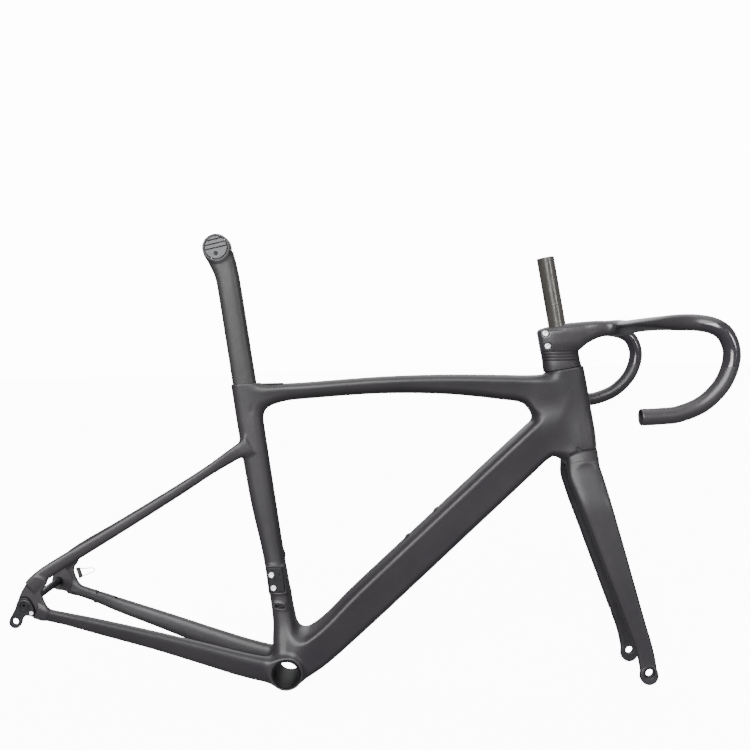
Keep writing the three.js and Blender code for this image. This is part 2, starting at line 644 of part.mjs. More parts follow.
// Everything above the plane where the crown ends, and the room between the legs for a tyre.
const aboveLegs = onSteerer(new THREE.BoxGeometry(300, 300, 100).translate(0, 0, crownFoot - GAP + 50));
const TYRE = { diameter: 700, halfWidth: 18 };
const tyreSpace = crossRod(TYRE.diameter, FRONT_AXLE.x, FRONT_AXLE.z, -TYRE.halfWidth, TYRE.halfWidth, 96);
const TIP_INSERT = { diameter: 17, recess: 2, proud: 0.4 };
const BRAKE_INSERT = { outer: 8, inner: 5.2 };
const hubFace = FRONT_AXLE.spacing / 2;
for (const [name, side] of Object.entries(SIDES)) {
  const outer = side * (hubFace + FRONT_AXLE.plate);
  const boss = crossRod(tipCircle.diameter, tipCircle.x, tipCircle.z, side * hubFace, outer, 24);
  const onAxle = (diameter, from, to) => crossRod(diameter, FRONT_AXLE.x, FRONT_AXLE.z, from, to);
  const recess = onAxle(TIP_INSERT.diameter + 2 * GAP, outer - side * TIP_INSERT.recess, side * 100);
  const leg = loft(legStations(side), { power: 2.5, sides: 16 })
    .subtract(aboveLegs)
    .subtract(tyreSpace)
    .add(boss)
    .subtract(axleBore(FRONT_AXLE, 0, side * 100))
    .subtract(recess);
  const brakeSpace = [];
  if (name === 'left') {
    for (const [place, x, z, y] of frontBrakeInserts) {
      const inward = [x + 9.4, z + 3.45];
      const thread = rod(BRAKE_INSERT.inner, [x - 1, z - 0.4], [x + 8, z + 2.9], y);
      const insert = rod(BRAKE_INSERT.outer, [x, z], inward, y, 12).subtract(thread);
      addPiece(`front_brake_insert_${place}`, insert, paint.greyAlloy);
      brakeSpace.push(rod(BRAKE_INSERT.outer + 2 * GAP, [x - 18.8, z - 6.9], [x + 9.7, z + 3.55], y, 12));
    }
  }
  addPiece(`fork_leg_${name}`, wasm.Manifold.difference([leg, ...brakeSpace]), paint.carbon);
  const insertFoot = outer - side * (TIP_INSERT.recess - GAP);
  const insert = onAxle(TIP_INSERT.diameter, insertFoot, outer + side * TIP_INSERT.proud);
  const bored = insert.subtract(axleBore(FRONT_AXLE, 0, side * 100));
  addPiece(`fork_axle_insert_${name}`, bored, paint.blackAlloy);
}

// ---------------------------------------------------------------- headset
const steererRing = (inner, outer, low, high) => onSteerer(lathe(tubeProfile(inner, outer, low, high)));
const bearingTop = HEAD.length - GAP;
const bearingFoot = bearingTop - HEADSET.height;
const lowerBearing = steererRing(20.2, HEADSET.lower / 2, -0.6, HEADSET.lip);
const upperBearing = steererRing(15.4, HEADSET.upper / 2, bearingFoot, bearingTop);
addPiece('lower_bearing', lowerBearing, paint.greyAlloy);
addPiece('crown_race', steererRing(20.1, 25.4, crownTop + GAP, -0.9), paint.blackAlloy);
addPiece('upper_bearing', upperBearing, paint.greyAlloy);
addPiece('compression_ring', steererRing(14.6, 17.4, bearingTop + GAP, bearingTop + 3), paint.blackAlloy);

const SPACER = { front: 27.3, rear: -34.5, width: 36, coverTop: 498.3, height: 4.6 };
const spacerLoft = (low, high) => loft(edgeStations([low, high], 1), { power: 2.5, sides: 20 });
const levelSection = (z) => ({
  top: levelPoint(SPACER.front, z),
  bottom: levelPoint(SPACER.rear, z),
  width: SPACER.width,
});
const coverFoot = {
  top: steererPoint(SPACER.front, HEAD.length + GAP),
  bottom: steererPoint(SPACER.rear, HEAD.length + GAP),
  width: SPACER.width + 2,
};
const cover = spacerLoft(coverFoot, levelSection(SPACER.coverTop))
  .subtract(steererHole(STEERER.diameter / 2 + GAP, 100, 220))
  .subtract(steererHole(17.8, 100, bearingTop + 3 + GAP));
addPiece('headset_top_cover', cover, paint.carbon);
for (const level of [1, 2, 3]) {
  const low = SPACER.coverTop + GAP * level + SPACER.height * (level - 1);
  const spacer = spacerLoft(levelSection(low), levelSection(low + SPACER.height));
  const bored = spacer.subtract(steererHole(STEERER.diameter / 2 + GAP, 100, 220));
  addPiece(`headset_spacer_${level}`, bored, paint.carbon);
}

// ---------------------------------------------------------------- handlebar
const stemFoot = SPACER.coverTop + 4 * GAP + 3 * SPACER.height;
const stemStations = edgeStations(
  [
    { top: [426, 550], bottom: [431.5, stemFoot], width: 31 },
    { top: [443, 554.5], bottom: [447, stemFoot], width: 37 },
    { top: [468, 559], bottom: [472, stemFoot], width: 40 },
    { top: [489, 560.8], bottom: [492, stemFoot + 1], width: 40 },
    { top: [501, 561.5], bottom: [504, 523.5], width: 39 },
    { top: [522, 562.5], bottom: [524, 533.5], width: 40 },
    { top: [545, 563], bottom: [547, 537], width: 44 },
    { top: [571, 561], bottom: [573, 538], width: 52 },
  ],
  9,
);
const barStations = (side) =>
  pathStations(
    [
      { at: [572, -8 * side, 549], height: 23, width: 40 },
      { at: [573, 45 * side, 549.8], height: 21, width: 42 },
      { at: [576, 100 * side, 551], height: 20, width: 41 },
      { at: [583, 152 * side, 551.5], height: 21.5, width: 33 },
      { at: [594, 186 * side, 551], height: BAR.diameter, width: BAR.diameter },
      { at: [612, 207 * side, 549.4], height: BAR.diameter, width: BAR.diameter },
      { at: [632, 216 * side, 543.9], height: BAR.diameter, width: BAR.diameter },
      { at: [647, 219 * side, 531.9], height: BAR.diameter, width: BAR.diameter },
      { at: [655, 220 * side, 509.4], height: BAR.diameter, width: BAR.diameter },
      { at: [651.6, 220.5 * side, 484.4], height: BAR.diameter, width: BAR.diameter },
      { at: [638, 221 * side, 458.4], height: BAR.diameter, width: BAR.diameter },
      { at: [612, 222 * side, 434.9], height: BAR.diameter, width: BAR.diameter },
      { at: [579, 223 * side, 421.9], height: BAR.diameter, width: BAR.diameter },
      { at: [552, 223.5 * side, 419.2], height: BAR.diameter, width: BAR.diameter },
      { at: [524, 224 * side, 418.4], height: BAR.diameter, width: BAR.diameter },
    ],
    17,
    vec(0, -0.3 * side, 1),
  );
const stemBolts = { forward: -24, upper: 197.5, lower: 176.4, head: 9.4, shank: 5, seat: -10 };
let handlebar = loft(stemStations, { power: 3.2, sides: 16 });
const barBores = [];
for (const side of Object.values(SIDES)) {
  const stations = barStations(side);
  handlebar = handlebar.add(loft(stations, { power: 2.1, sides: 12 }));
  barBores.push(loft(stations.slice(2), { power: 2.1, sides: 8, grow: -BAR.wall, overrun: 6 }));
}
for (const bore of barBores) handlebar = handlebar.subtract(bore);
handlebar = handlebar.subtract(steererHole(STEERER.diameter / 2 + GAP, 140, 240));
// The slot behind the steerer lets the two bolts clamp the stem on it.
const PINCH = { length: 30, gap: 2, height: 90, forward: -27, middle: 187 };
const pinchSlot = new THREE.BoxGeometry(PINCH.length, PINCH.gap, PINCH.height);
handlebar = handlebar.subtract(onSteerer(pinchSlot.translate(PINCH.forward, 0, PINCH.middle)));
for (const level of ['upper', 'lower']) {
  const [x, z] = steererPoint(stemBolts.forward, stemBolts[level]);
  const { shank, seat } = stemBolts;
  const boltHeadSpace = crossRod(stemBolts.head + 2 * GAP, x, z, seat - GAP, -30, 20);
  const shankSpace = crossRod(shank + 2 * GAP, x, z, 14, -30, 12);
  handlebar = handlebar.subtract(boltHeadSpace).subtract(shankSpace);
  const head = crossRod(stemBolts.head, x, z, seat - 2 * GAP, seat - 5.6, 20);
  addPiece(`stem_bolt_${level}`, head.add(crossRod(shank, x, z, 12, seat - 2, 12)), paint.silver);
}
addPiece('handlebar', handlebar, paint.carbon);

// ---------------------------------------------------------------- seatpost
const postStations = edgeStations(
  [
    postSection(POST.bottom),
    postSection(-40),
    postSection(60),
    postSection(152),
    { top: seatPoint(-20.6, 182), bottom: seatPoint(18.8, 182), width: 26 },
    { top: seatPoint(-26.5, 203), bottom: seatPoint(17.4, 203), width: 25 },
    { top: seatPoint(-31.5, 219), bottom: seatPoint(15.4, 219), width: 24.5 },
  ],
  9,
);
// A rod or disc across the post's head, `drop` below the head's middle.
const acrossHead = (diameter, from, to, segments, drop = 0) =>
  crossRod(diameter, POST_HEAD.x, POST_HEAD.z - drop, from, to, segments);
const postHead = acrossHead(POST_HEAD.diameter, -POST_HEAD.width / 2, POST_HEAD.width / 2, 32);
const hollowStations = edgeStations(
  [postSection(POST.bottom - 5, -POST.wall), postSection(150, -POST.wall)],
  3,
);
const seatpost = loft(postStations, { power: 2.6 })
  .add(postHead)
  .subtract(loft(hollowStations, { power: 2.6, sides: 12 }))
  .subtract(acrossHead(POST_HEAD.barrel + 2 * GAP, -60, 60, 28));
addPiece('seatpost', seatpost, paint.post);

// The saddle clamp turns in the post head: a barrel, two grooved cheeks and the bolt through them.
const clampBolt = { drop: 9.5, diameter: 6, half: 13.5 };
const boltHole = acrossHead(clampBolt.diameter + 2 * GAP, -60, 60, 16, clampBolt.drop);
const BARREL_HALF = 8;
const barrel = acrossHead(POST_HEAD.barrel, -BARREL_HALF, BARREL_HALF, 28).subtract(boltHole);
addPiece('clamp_barrel', barrel, paint.greyAlloy);
const GROOVE = { tilt: THREE.MathUtils.degToRad(12), lifts: [-2, 5, 12], depth: 1.6, height: 3.4 };
for (const [name, side] of Object.entries(SIDES)) {
  const face = POST_HEAD.width / 2 + 2;
  let cheek = acrossHead(POST_HEAD.barrel, side * (BARREL_HALF + GAP), side * face, 28);
  for (const lift of GROOVE.lifts) {
    const groove = new THREE.BoxGeometry(60, 2 * GROOVE.depth, GROOVE.height).translate(0, 0, lift);
    groove.rotateY(-GROOVE.tilt).translate(POST_HEAD.x, side * face, POST_HEAD.z);
    cheek = cheek.subtract(toSolid(groove));
  }
  addPiece(`clamp_cheek_${name}`, cheek.subtract(boltHole), paint.greyAlloy);
}
const clampScrew = acrossHead(clampBolt.diameter, -clampBolt.half, clampBolt.half, 16, clampBolt.drop);
addPiece('saddle_clamp_bolt', clampScrew, paint.silver);

// The origin is on the floor, below the middle of the whole.
const bounds = new THREE.Box3().setFromObject(object);
const middle = bounds.getCenter(vec(0, 0, 0));
const frameset = new THREE.Group();
object.position.set(-middle.x, -middle.y, -bounds.min.z);
frameset.add(object);

export default frameset;
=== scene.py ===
"""A carbon road frameset: monocoque frame, fork, one-piece handlebar and aero seatpost.

Shapes are worked out in millimetres from the centre of the bottom bracket, with x forward,
y to the rider's left and z up, and are put into the CAD frame in metres when a mesh is made.
"""
import math

import bmesh
import bpy
import numpy as np
import openvdb
from mathutils import Matrix, Vector


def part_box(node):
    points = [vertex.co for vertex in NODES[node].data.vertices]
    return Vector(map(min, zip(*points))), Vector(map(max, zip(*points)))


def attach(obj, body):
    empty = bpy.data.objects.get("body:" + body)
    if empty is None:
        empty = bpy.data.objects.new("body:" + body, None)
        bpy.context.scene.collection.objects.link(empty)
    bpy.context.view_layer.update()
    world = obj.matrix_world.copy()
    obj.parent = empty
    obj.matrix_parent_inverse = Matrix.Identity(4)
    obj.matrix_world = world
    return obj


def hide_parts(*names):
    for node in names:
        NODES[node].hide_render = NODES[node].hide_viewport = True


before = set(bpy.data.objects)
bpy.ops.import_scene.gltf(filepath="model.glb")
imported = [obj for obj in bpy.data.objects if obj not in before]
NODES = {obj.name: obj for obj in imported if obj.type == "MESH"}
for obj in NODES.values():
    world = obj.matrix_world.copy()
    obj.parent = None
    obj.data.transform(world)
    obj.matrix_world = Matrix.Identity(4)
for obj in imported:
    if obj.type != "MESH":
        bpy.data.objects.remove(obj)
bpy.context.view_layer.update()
MM = 0.001
_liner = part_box("bottom_bracket_liner")
BRACKET = np.array((_liner[0] + _liner[1]) / 2) / MM  # its centre in the CAD frame, in mm


def place(x, y, z):
    """A point given in millimetres from the bracket, in metres in the CAD frame."""
    return Vector((np.array((x, y, z)) + BRACKET) * MM)


def new_object(name, data, body, material, replaced=()):
    """A visible piece that rides on a body, with its material and what it replaces."""
    data.materials.append(material)
    made = bpy.data.objects.new(name, data)
    bpy.context.scene.collection.objects.link(made)
    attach(made, body)
    if replaced:
        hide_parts(*replaced)
    return made


def finish_mesh(shape, name, body, material, replaced=(), sharp=35):
    """A built mesh as a piece, smooth but for edges of `sharp` degrees and more."""
    bmesh.ops.recalc_face_normals(shape, faces=shape.faces)
    for edge in shape.edges:
        edge.smooth = edge.calc_face_angle(0) < math.radians(sharp)
    for face in shape.faces:
        face.smooth = True
    mesh = bpy.data.meshes.new(name)
    shape.to_mesh(mesh)
    shape.free()
    return new_object(name, mesh, body, material, replaced)


# ------------------------------------------------------------------ camera
SENSOR, VIEW_PIXELS, FOCAL_PIXELS = 36, 750, 863.5
camera_data = bpy.data.cameras.new("camera")
camera = bpy.data.objects.new("camera", camera_data)
bpy.context.scene.collection.objects.link(camera)
bpy.context.scene.camera = camera
camera_data.sensor_width = SENSOR
camera_data.lens = FOCAL_PIXELS / VIEW_PIXELS * SENSOR
camera.location = place(149.1, -1429.2, 514.7)
PITCH, YAW, ROLL = math.radians(-1.34), math.radians(-0.239), math.radians(1.353)
camera.matrix_world = (
    Matrix.Translation(camera.location)
    @ Matrix.Rotation(YAW, 4, "Z")
    @ Matrix.Rotation(PITCH, 4, "X")
    @ Matrix.Rotation(ROLL, 4, "Y")
    @ Matrix.Rotation(math.pi / 2, 4, "X")
)

# ------------------------------------------------------------------ the guide wire and its clip
def fine_finish(name, color, rough, metal, size):
    """A plain finish whose roughness varies a little, in specks of the given scale."""
    paint = bpy.data.materials.new(name)
    paint.use_nodes = True
    tree = paint.node_tree
    shader = tree.nodes["Principled BSDF"]
    shader.inputs["Base Color"].default_value = (*color, 1)
    shader.inputs["Metallic"].default_value = metal
    speckle = tree.nodes.new("ShaderNodeTexNoise")
    speckle.inputs["Scale"].default_value = size
    spread = tree.nodes.new("ShaderNodeMapRange")
    spread.inputs["To Min"].default_value, spread.inputs["To Max"].default_value = rough - 0.1, rough + 0.1
    tree.links.new(speckle.outputs["Fac"], spread.inputs["Value"])
    tree.links.new(spread.outputs["Result"], shader.inputs["Roughness"])
    return paint


NYLON = fine_finish("black_nylon", (0.014, 0.014, 0.015), 0.5, 0, 900)
BRIGHT = fine_finish("bright_wire", (0.02, 0.02, 0.021), 0.5, 0.2, 1500)
GUIDE = [  # from the upper end in the left dropout, round the loop, to the lower end
    (-376.6, 73, 152.4), (-372, 72.4, 153.2), (-358, 70.4, 154.4), (-346, 68.6, 155.4), (-340.5, 67.6, 154),
    (-341.5, 67.4, 150.4), (-350, 68.2, 146.4), (-362, 70, 141.4), (-367, 71.4, 138.2), (-371.2, 73, 135.4),
]
GUIDE_DIAMETER = 1.4
wire_curve = bpy.data.curves.new("guide_wire_line", "CURVE")
wire_curve.dimensions = "3D"
wire_curve.bevel_depth = GUIDE_DIAMETER / 2 * MM
wire_curve.bevel_resolution = 5
wire_curve.resolution_u = 8
wire_curve.use_fill_caps = True
line = wire_curve.splines.new("BEZIER")
line.bezier_points.add(len(GUIDE) - 1)
for knot, point in zip(line.bezier_points, GUIDE):
    knot.co = place(*point)
    knot.handle_left_type = knot.handle_right_type = "AUTO"
wire = new_object("guide_wire_line", wire_curve, "frame", BRIGHT, ["guide_wire"])

CLIP_FACE = 69.6
CLIP_THICK, CLIP_EDGE = 0.004, 0.0006  # in metres
CLIP = [(-374.2, 155.6), (-367.4, 156.4), (-362.6, 139.6), (-368.4, 136.4)]
clip_shape = bmesh.new()
clip_face = clip_shape.faces.new([clip_shape.verts.new(place(x, CLIP_FACE, z)) for x, z in CLIP])
drawn = bmesh.ops.extrude_face_region(clip_shape, geom=[clip_face])["geom"]
moved = [v for v in drawn if isinstance(v, bmesh.types.BMVert)]
bmesh.ops.translate(clip_shape, vec=(0, CLIP_THICK, 0), verts=moved)
bmesh.ops.bevel(clip_shape, geom=clip_shape.edges[:], offset=CLIP_EDGE, segments=3, profile=0.5,
                affect="EDGES")
bmesh.ops.recalc_face_normals(clip_shape, faces=clip_shape.faces)
clip_mesh = bpy.data.meshes.new("wire_clip")
clip_shape.to_mesh(clip_mesh)
clip_shape.free()
wire_clip = new_object("wire_clip", clip_mesh, "frame", NYLON, ["guide_wire_clip"])

# ------------------------------------------------------------------ the steering and seat axes
HEAD_AT, HEAD_LEAN = (489.8, 351.5), math.radians(8.8)
SEAT_AT, SEAT_LEAN = (-60.8, 471), math.radians(7.45)


def on_axis(at, lean, forward, along):
    """x and z of a point beside and along an axis that leans back."""
    x = at[0] + forward * math.cos(lean) - along * math.sin(lean)
    z = at[1] + forward * math.sin(lean) + along * math.cos(lean)
    return x, z


def steer(forward, along):
    return on_axis(HEAD_AT, HEAD_LEAN, forward, along)


def seat(forward, along):
    return on_axis(SEAT_AT, SEAT_LEAN, forward, along)


# ------------------------------------------------------------------ distance fields
FAR, BATCH = 40.0, 200000


def smooth_min(a, b, blend):
    """The smaller of two distances, rounded over a width of `blend`."""
    if blend <= 0:
        return np.minimum(a, b)
    h = np.maximum(blend - np.abs(a - b), 0) / blend
    return np.minimum(a, b) - h * h * (blend / 4)


class Field:
    """A block of signed distances on a grid, negative inside the piece."""

    def __init__(self, low, high, cell):
        self.low = np.array(low, float)
        self.cell = cell
        self.size = np.ceil((np.array(high) - self.low) / cell).astype(int) + 1
        self.values = np.full(self.size, FAR, np.float32)

    def window(self, low, high, margin):
        """The part of the grid within a margin of a box, as slices and as x, y and z."""
        first = np.floor((np.array(low) - margin - self.low) / self.cell).astype(int)
        last = np.ceil((np.array(high) + margin - self.low) / self.cell).astype(int) + 1
        first, last = np.clip(first, 0, self.size), np.clip(last, 0, self.size)
        cut = tuple(slice(a, b) for a, b in zip(first, last))
        axes = [self.low[i] + self.cell * np.arange(first[i], last[i]) for i in range(3)]
        shaped = [axes[0][:, None, None], axes[1][None, :, None], axes[2][None, None, :]]
        return cut, [a.astype(np.float32) for a in shaped]

    def join(self, shape, blend=0.0, sign=1):
        low, high, distance = shape
        cut, at = self.window(low, high, blend + 3 * self.cell)
        self.values[cut] = sign * smooth_min(sign * self.values[cut], distance(*at), blend)

    def cut(self, shape, blend=0.0):
        self.join(shape, blend, -1)

    def keep(self, shape):
        """Only what lies inside the shape is left."""
        _, at = self.window(self.low, self.low + self.size * self.cell, 0)
        self.values = np.maximum(self.values, shape[2](*at))


def catmull(rows, steps):
    """A smooth curve through rows of numbers, with `steps` samples a span."""
    rows = np.array(rows, float)
    padded = np.vstack([2 * rows[0] - rows[1], rows, 2 * rows[-1] - rows[-2]])
    out = []
    for i in range(len(rows) - 1):
        p0, p1, p2, p3 = padded[i : i + 4]
        for t in np.arange(steps) / steps:
            out.append(
                0.5 * (2 * p1 + (p2 - p0) * t + (2 * p0 - 5 * p1 + 4 * p2 - p3) * t**2
                       + (3 * p1 - p0 - 3 * p2 + p3) * t**3)
            )
    out.append(rows[-1])
    return np.array(out)


def section(u, v, a, b, power):
    """Distance from a superellipse with half axes a and b."""
    u, v = np.abs(u) / a, np.abs(v) / b
    g = (u**power + v**power) ** (1 / power) + 1e-6
    slope = np.sqrt(((u / g) ** (power - 1) / a) ** 2 + ((v / g) ** (power - 1) / b) ** 2)
    return (g - 1) / np.maximum(slope, 1e-4)


def between(values, i, t):
    """Values a share t of the way from row i to the next."""
    return values[i] * (1 - t) + values[i + 1] * t


def follow(rows):
    """A member in the middle plane, from rows of (top x, top z, bottom x, bottom z, width).

    Returns its corners and a function that gives, for x and z, the height over the centreline, the
    half height and half width there, and how far the point lies beyond the member's ends.
    """
    rows = catmull(rows, 8)
    top, bottom, half_width = rows[:, 0:2], rows[:, 2:4], rows[:, 4] / 2
    centre, up = (top + bottom) / 2, top - bottom
    half = np.linalg.norm(up, axis=1) / 2
    up = up / (2 * half[:, None])
    run = np.stack([up[:, 1], -up[:, 0]], 1)
    if np.dot(centre[-1] - centre[0], run[0]) < 0:
        run = -run

    def locate(x, z):
        gx, gz = np.broadcast_arrays(x, z)
        points = np.stack([gx.ravel(), gz.ravel()], 1)
        ahead = points @ run.T - np.sum(centre * run, 1)[None, :]
        i = np.clip((ahead > 0).sum(1) - 1, 0, len(centre) - 2)
        row = np.arange(len(points))
        t = ahead[row, i] / np.maximum(ahead[row, i] - ahead[row, i + 1], 1e-6)
        over = np.maximum(-ahead[:, 0], ahead[:, -1])
        t = np.clip(t, 0, 1)[:, None]
        mid, axis = between(centre, i, t), between(up, i, t)
        axis /= np.linalg.norm(axis, axis=1)[:, None]
        t = t[:, 0]
        u = np.sum((points - mid) * axis, 1)
        a, b = between(half, i, t), between(half_width, i, t)
        return [q.reshape(gx.shape).astype(np.float32) for q in (u, a, b, over)]

    ends = np.vstack([top, bottom])
    wide = half_width.max()
    low = (ends[:, 0].min(), -wide, ends[:, 1].min())
    high = (ends[:, 0].max(), wide, ends[:, 1].max())
    return low, high, locate


def strip(rows, power, edge=0.0):
    """A member by itself. `edge` rounds the rims of its two ends."""
    low, high, locate = follow(rows)

    def distance(x, y, z):
        u, a, b, over = locate(x, z)
        return -smooth_min(-section(u, y, a, b, power), -over, edge)

    return low, high, distance


def web(members, power, spread=13.0):
    """Members in the middle plane as one skin: their outlines meet in fillets and their widths flow
    into each other, so the sides have no creases. A member is (rows, blend, lean, rim): lean makes
    it wider towards its top, and rim is how far in from its edges the rounding reaches.
    """
    found = [(*follow(rows), *rest) for rows, *rest in members]

    def distance(x, y, z):
        flat, weights, rims, widths = None, 0, 0, 0
        for low, high, locate, blend, lean, rim in found:
            u, a, b, over = locate(x, z)
            inside = -smooth_min(a - np.abs(u), -over, 8)
            weight = np.exp(np.clip(-inside / spread, -30, 6))
            weights = weights + weight
            rims = rims + weight * np.minimum(a, rim)
            widths = widths + weight * b * (1 + lean * np.clip(u / a, -1, 1))
            flat = inside if flat is None else smooth_min(flat, inside, blend)
        a, b = rims / weights, widths / weights
        return section(np.maximum(a + flat, 0), y, a, b, power)

    low = np.min([f[0] for f in found], 0)
    high = np.max([f[1] for f in found], 0)
    return low, high, distance


def limb(rows, toward, power):
    """A member through space, from rows of (x, y, z, height, width). `toward` is where height points.

    Distances are worked out within `reach` of it, and BATCH points at a time.
    """
    reach = 26.0
    rows = catmull(rows, 10)
    centre, half, half_width = rows[:, 0:3], rows[:, 3] / 2, rows[:, 4] / 2
    run = np.gradient(centre, axis=0)
    run /= np.linalg.norm(run, axis=1)[:, None]
    up = np.array(toward, float) - run * (run @ np.array(toward, float))[:, None]
    up /= np.linalg.norm(up, axis=1)[:, None]
    side = np.cross(run, up)
    radius = max(half.max(), half_width.max())

    def distance(x, y, z):
        shape = (x.size, y.size, z.size)
        xs, ys, zs = x.ravel(), y.ravel(), z.ravel()
        near = np.zeros(shape, bool)
        for c in centre:
            block = tuple(
                slice(*np.searchsorted(a, (c[k] - radius - reach, c[k] + radius + reach)))
                for k, a in enumerate((xs, ys, zs))
            )
            near[block] = True
        index = np.argwhere(near)
        points = np.stack([xs[index[:, 0]], ys[index[:, 1]], zs[index[:, 2]]], 1)
        out = np.full(shape, FAR, np.float32)
        result = np.empty(len(points), np.float32)
        for first in range(0, len(points), BATCH):
            p = points[first : first + BATCH].astype(np.float32)
            apart = (p**2).sum(1)[:, None] - 2 * p @ centre.T.astype(np.float32)
            i = np.argmin(apart + (centre**2).sum(1)[None, :].astype(np.float32), 1)
            ahead = np.sum((p - centre[i]) * run[i], 1)
            i = np.clip(np.where(ahead < 0, i - 1, i), 0, len(centre) - 2)
            a0 = np.sum((p - centre[i]) * run[i], 1)
            a1 = np.sum((p - centre[i + 1]) * run[i + 1], 1)
            t = np.clip(a0 / np.maximum(a0 - a1, 1e-6), 0, 1)[:, None]
            rel = p - between(centre, i, t)
            u = np.sum(rel * between(up, i, t), 1)
            v = np.sum(rel * between(side, i, t), 1)
            t = t[:, 0]
            d = section(u, v, between(half, i, t), between(half_width, i, t), power)
            over = np.maximum(np.where(i == 0, -a0, -FAR), np.where(i == len(centre) - 2, a1, -FAR))
            result[first : first + BATCH] = np.maximum(d, over)
        out[near] = result
        return out

    return centre.min(0) - radius, centre.max(0) + radius, distance


def rounded(a, b, edge):
    """What lies inside two distances, with a rounded edge where their surfaces meet."""
    a, b = a + edge, b + edge
    outside = np.sqrt(np.maximum(a, 0) ** 2 + np.maximum(b, 0) ** 2)
    return outside + np.minimum(np.maximum(a, b), 0) - edge


def cross_rod(diameter, x, z, y0, y1, round_edge=0.0):
    """A disc or rod with its axis along y."""
    y0, y1 = min(y0, y1), max(y0, y1)
    r = diameter / 2

    def distance(px, py, pz):
        radial = np.sqrt((px - x) ** 2 + (pz - z) ** 2) - r
        return rounded(radial, np.abs(py - (y0 + y1) / 2) - (y1 - y0) / 2, round_edge)

    return (x - r, y0, z - r), (x + r, y1, z + r), distance


def rod(diameter, start, end, round_edge=0.0):
    """A round rod between two points in space."""
    a, b = np.array(start, float), np.array(end, float)
    axis = (b - a) / np.linalg.norm(b - a)
    length, r = np.linalg.norm(b - a), diameter / 2

    def distance(px, py, pz):
        along = (px - a[0]) * axis[0] + (py - a[1]) * axis[1] + (pz - a[2]) * axis[2]
        square = (px - a[0]) ** 2 + (py - a[1]) ** 2 + (pz - a[2]) ** 2 - along**2
        radial = np.sqrt(np.maximum(square, 0)) - r
        return rounded(radial, np.abs(along - length / 2) - length / 2, round_edge)

    return np.minimum(a, b) - r, np.maximum(a, b) + r, distance


def plate(outline, y0, y1, round_edge=0.0):
    """A plate with an outline in x and z, between two values of y."""
    y0, y1 = min(y0, y1), max(y0, y1)
    corners = np.array(outline, float)

    def distance(px, py, pz):
        gx, gz = np.broadcast_arrays(px, pz)
        best = np.full(gx.shape, 1e9)
        inside = np.zeros(gx.shape, bool)
        for (ax, az), (bx, bz) in zip(corners, np.roll(corners, -1, axis=0)):
            ex, ez = bx - ax, bz - az
            wx, wz = gx - ax, gz - az
            t = np.clip((wx * ex + wz * ez) / (ex * ex + ez * ez), 0, 1)
            best = np.minimum(best, (wx - ex * t) ** 2 + (wz - ez * t) ** 2)
            crosses = (az > gz) != (bz > gz)
            with np.errstate(divide="ignore", invalid="ignore"):
                inside ^= crosses & (gx < ex * (gz - az) / (ez if ez else 1e-9) + ax)
        flat = (np.sqrt(best) * np.where(inside, -1, 1)).astype(np.float32)
        return rounded(flat, np.abs(py - (y0 + y1) / 2) - (y1 - y0) / 2, round_edge)

    low, high = corners.min(0), corners.max(0)
    return (low[0], y0, low[1]), (high[0], y1, high[1]), distance


def half_space(point, normal):
    """Everything behind a plane."""
    n = np.array(normal, float) / np.linalg.norm(normal)
    offset = np.dot(point, n)

    def distance(px, py, pz):
        return (px * n[0] + py * n[1] + pz * n[2] - offset).astype(np.float32)

    return (-1e4,) * 3, (1e4,) * 3, distance


def rounded_outline(points, steps=5):
    """A closed outline with its corners drawn as a smooth curve."""
    points = np.array(points, float)
    looped = np.vstack([points[-1], points, points[0], points[1]])
    return catmull(looped, steps)[steps : steps * (len(points) + 1)]


def steer_rod(diameter, low, high, round_edge=0.0):
    """A round rod on the steering axis."""
    (x0, z0), (x1, z1) = steer(0, low), steer(0, high)
    return rod(diameter, (x0, 0, z0), (x1, 0, z1), round_edge)


def brick(x, y, z, size_x, size_y, size_z, round_edge=0.0):
    """A box with rounded edges."""
    def distance(px, py, pz):
        q = [np.abs(p - c) - s / 2 + round_edge
             for p, c, s in ((px, x, size_x), (py, y, size_y), (pz, z, size_z))]
        outside = np.sqrt(sum(np.maximum(a, 0) ** 2 for a in q))
        return outside + np.minimum(np.maximum(np.maximum(q[0], q[1]), q[2]), 0) - round_edge

    half = np.array((size_x, size_y, size_z)) / 2
    return np.array((x, y, z)) - half, np.array((x, y, z)) + half, distance


def grown(outline, by):
    """A convex outline with its corners moved away from its middle."""
    points = np.array(outline, float)
    from_middle = points - points.mean(0)
    return points + by * np.sign(from_middle)


def mirrored(rows, side):
    """Rows of a limb on one side of the middle plane, from rows on the left."""
    return [(x, y * side, z, height, width) for x, y, z, height, width in rows]


POST_DEPTH, POST_WIDTH = 38.6, 26.6


def post_rows(stations, grow=0.0):
    """Rows of the seatpost's straight section, which is also its bore in the frame."""
    reach = POST_DEPTH / 2 + grow
    return [(*seat(-reach, a), *seat(reach, a), POST_WIDTH + 2 * grow) for a in stations]


# ------------------------------------------------------------------ meshes
def skin(field, name, body, material, replaced=()):
    """The surface of a field as a smooth mesh that rides on a body."""
    limit = 3 * field.cell
    grid = openvdb.FloatGrid(limit)
    grid.copyFromArray(np.clip(field.values, -limit, limit))
    points, quads = grid.convertToQuads(0.0)
    points = (field.low + np.array(points) * field.cell + BRACKET) * MM
    quads = np.array(quads)[:, ::-1]
    mesh = bpy.data.meshes.new(name)
    mesh.vertices.add(len(points))
    mesh.vertices.foreach_set("co", points.astype(np.float32).ravel())
    mesh.loops.add(quads.size)
    mesh.loops.foreach_set("vertex_index", quads.astype(np.int32).ravel())
    mesh.polygons.add(len(quads))
    mesh.polygons.foreach_set("loop_start", np.arange(0, quads.size, 4, dtype=np.int32))
    mesh.polygons.foreach_set("use_smooth", np.ones(len(quads), bool))
    mesh.update(calc_edges=True)
    mesh.validate()
    return new_object(name, mesh, body, material, replaced)


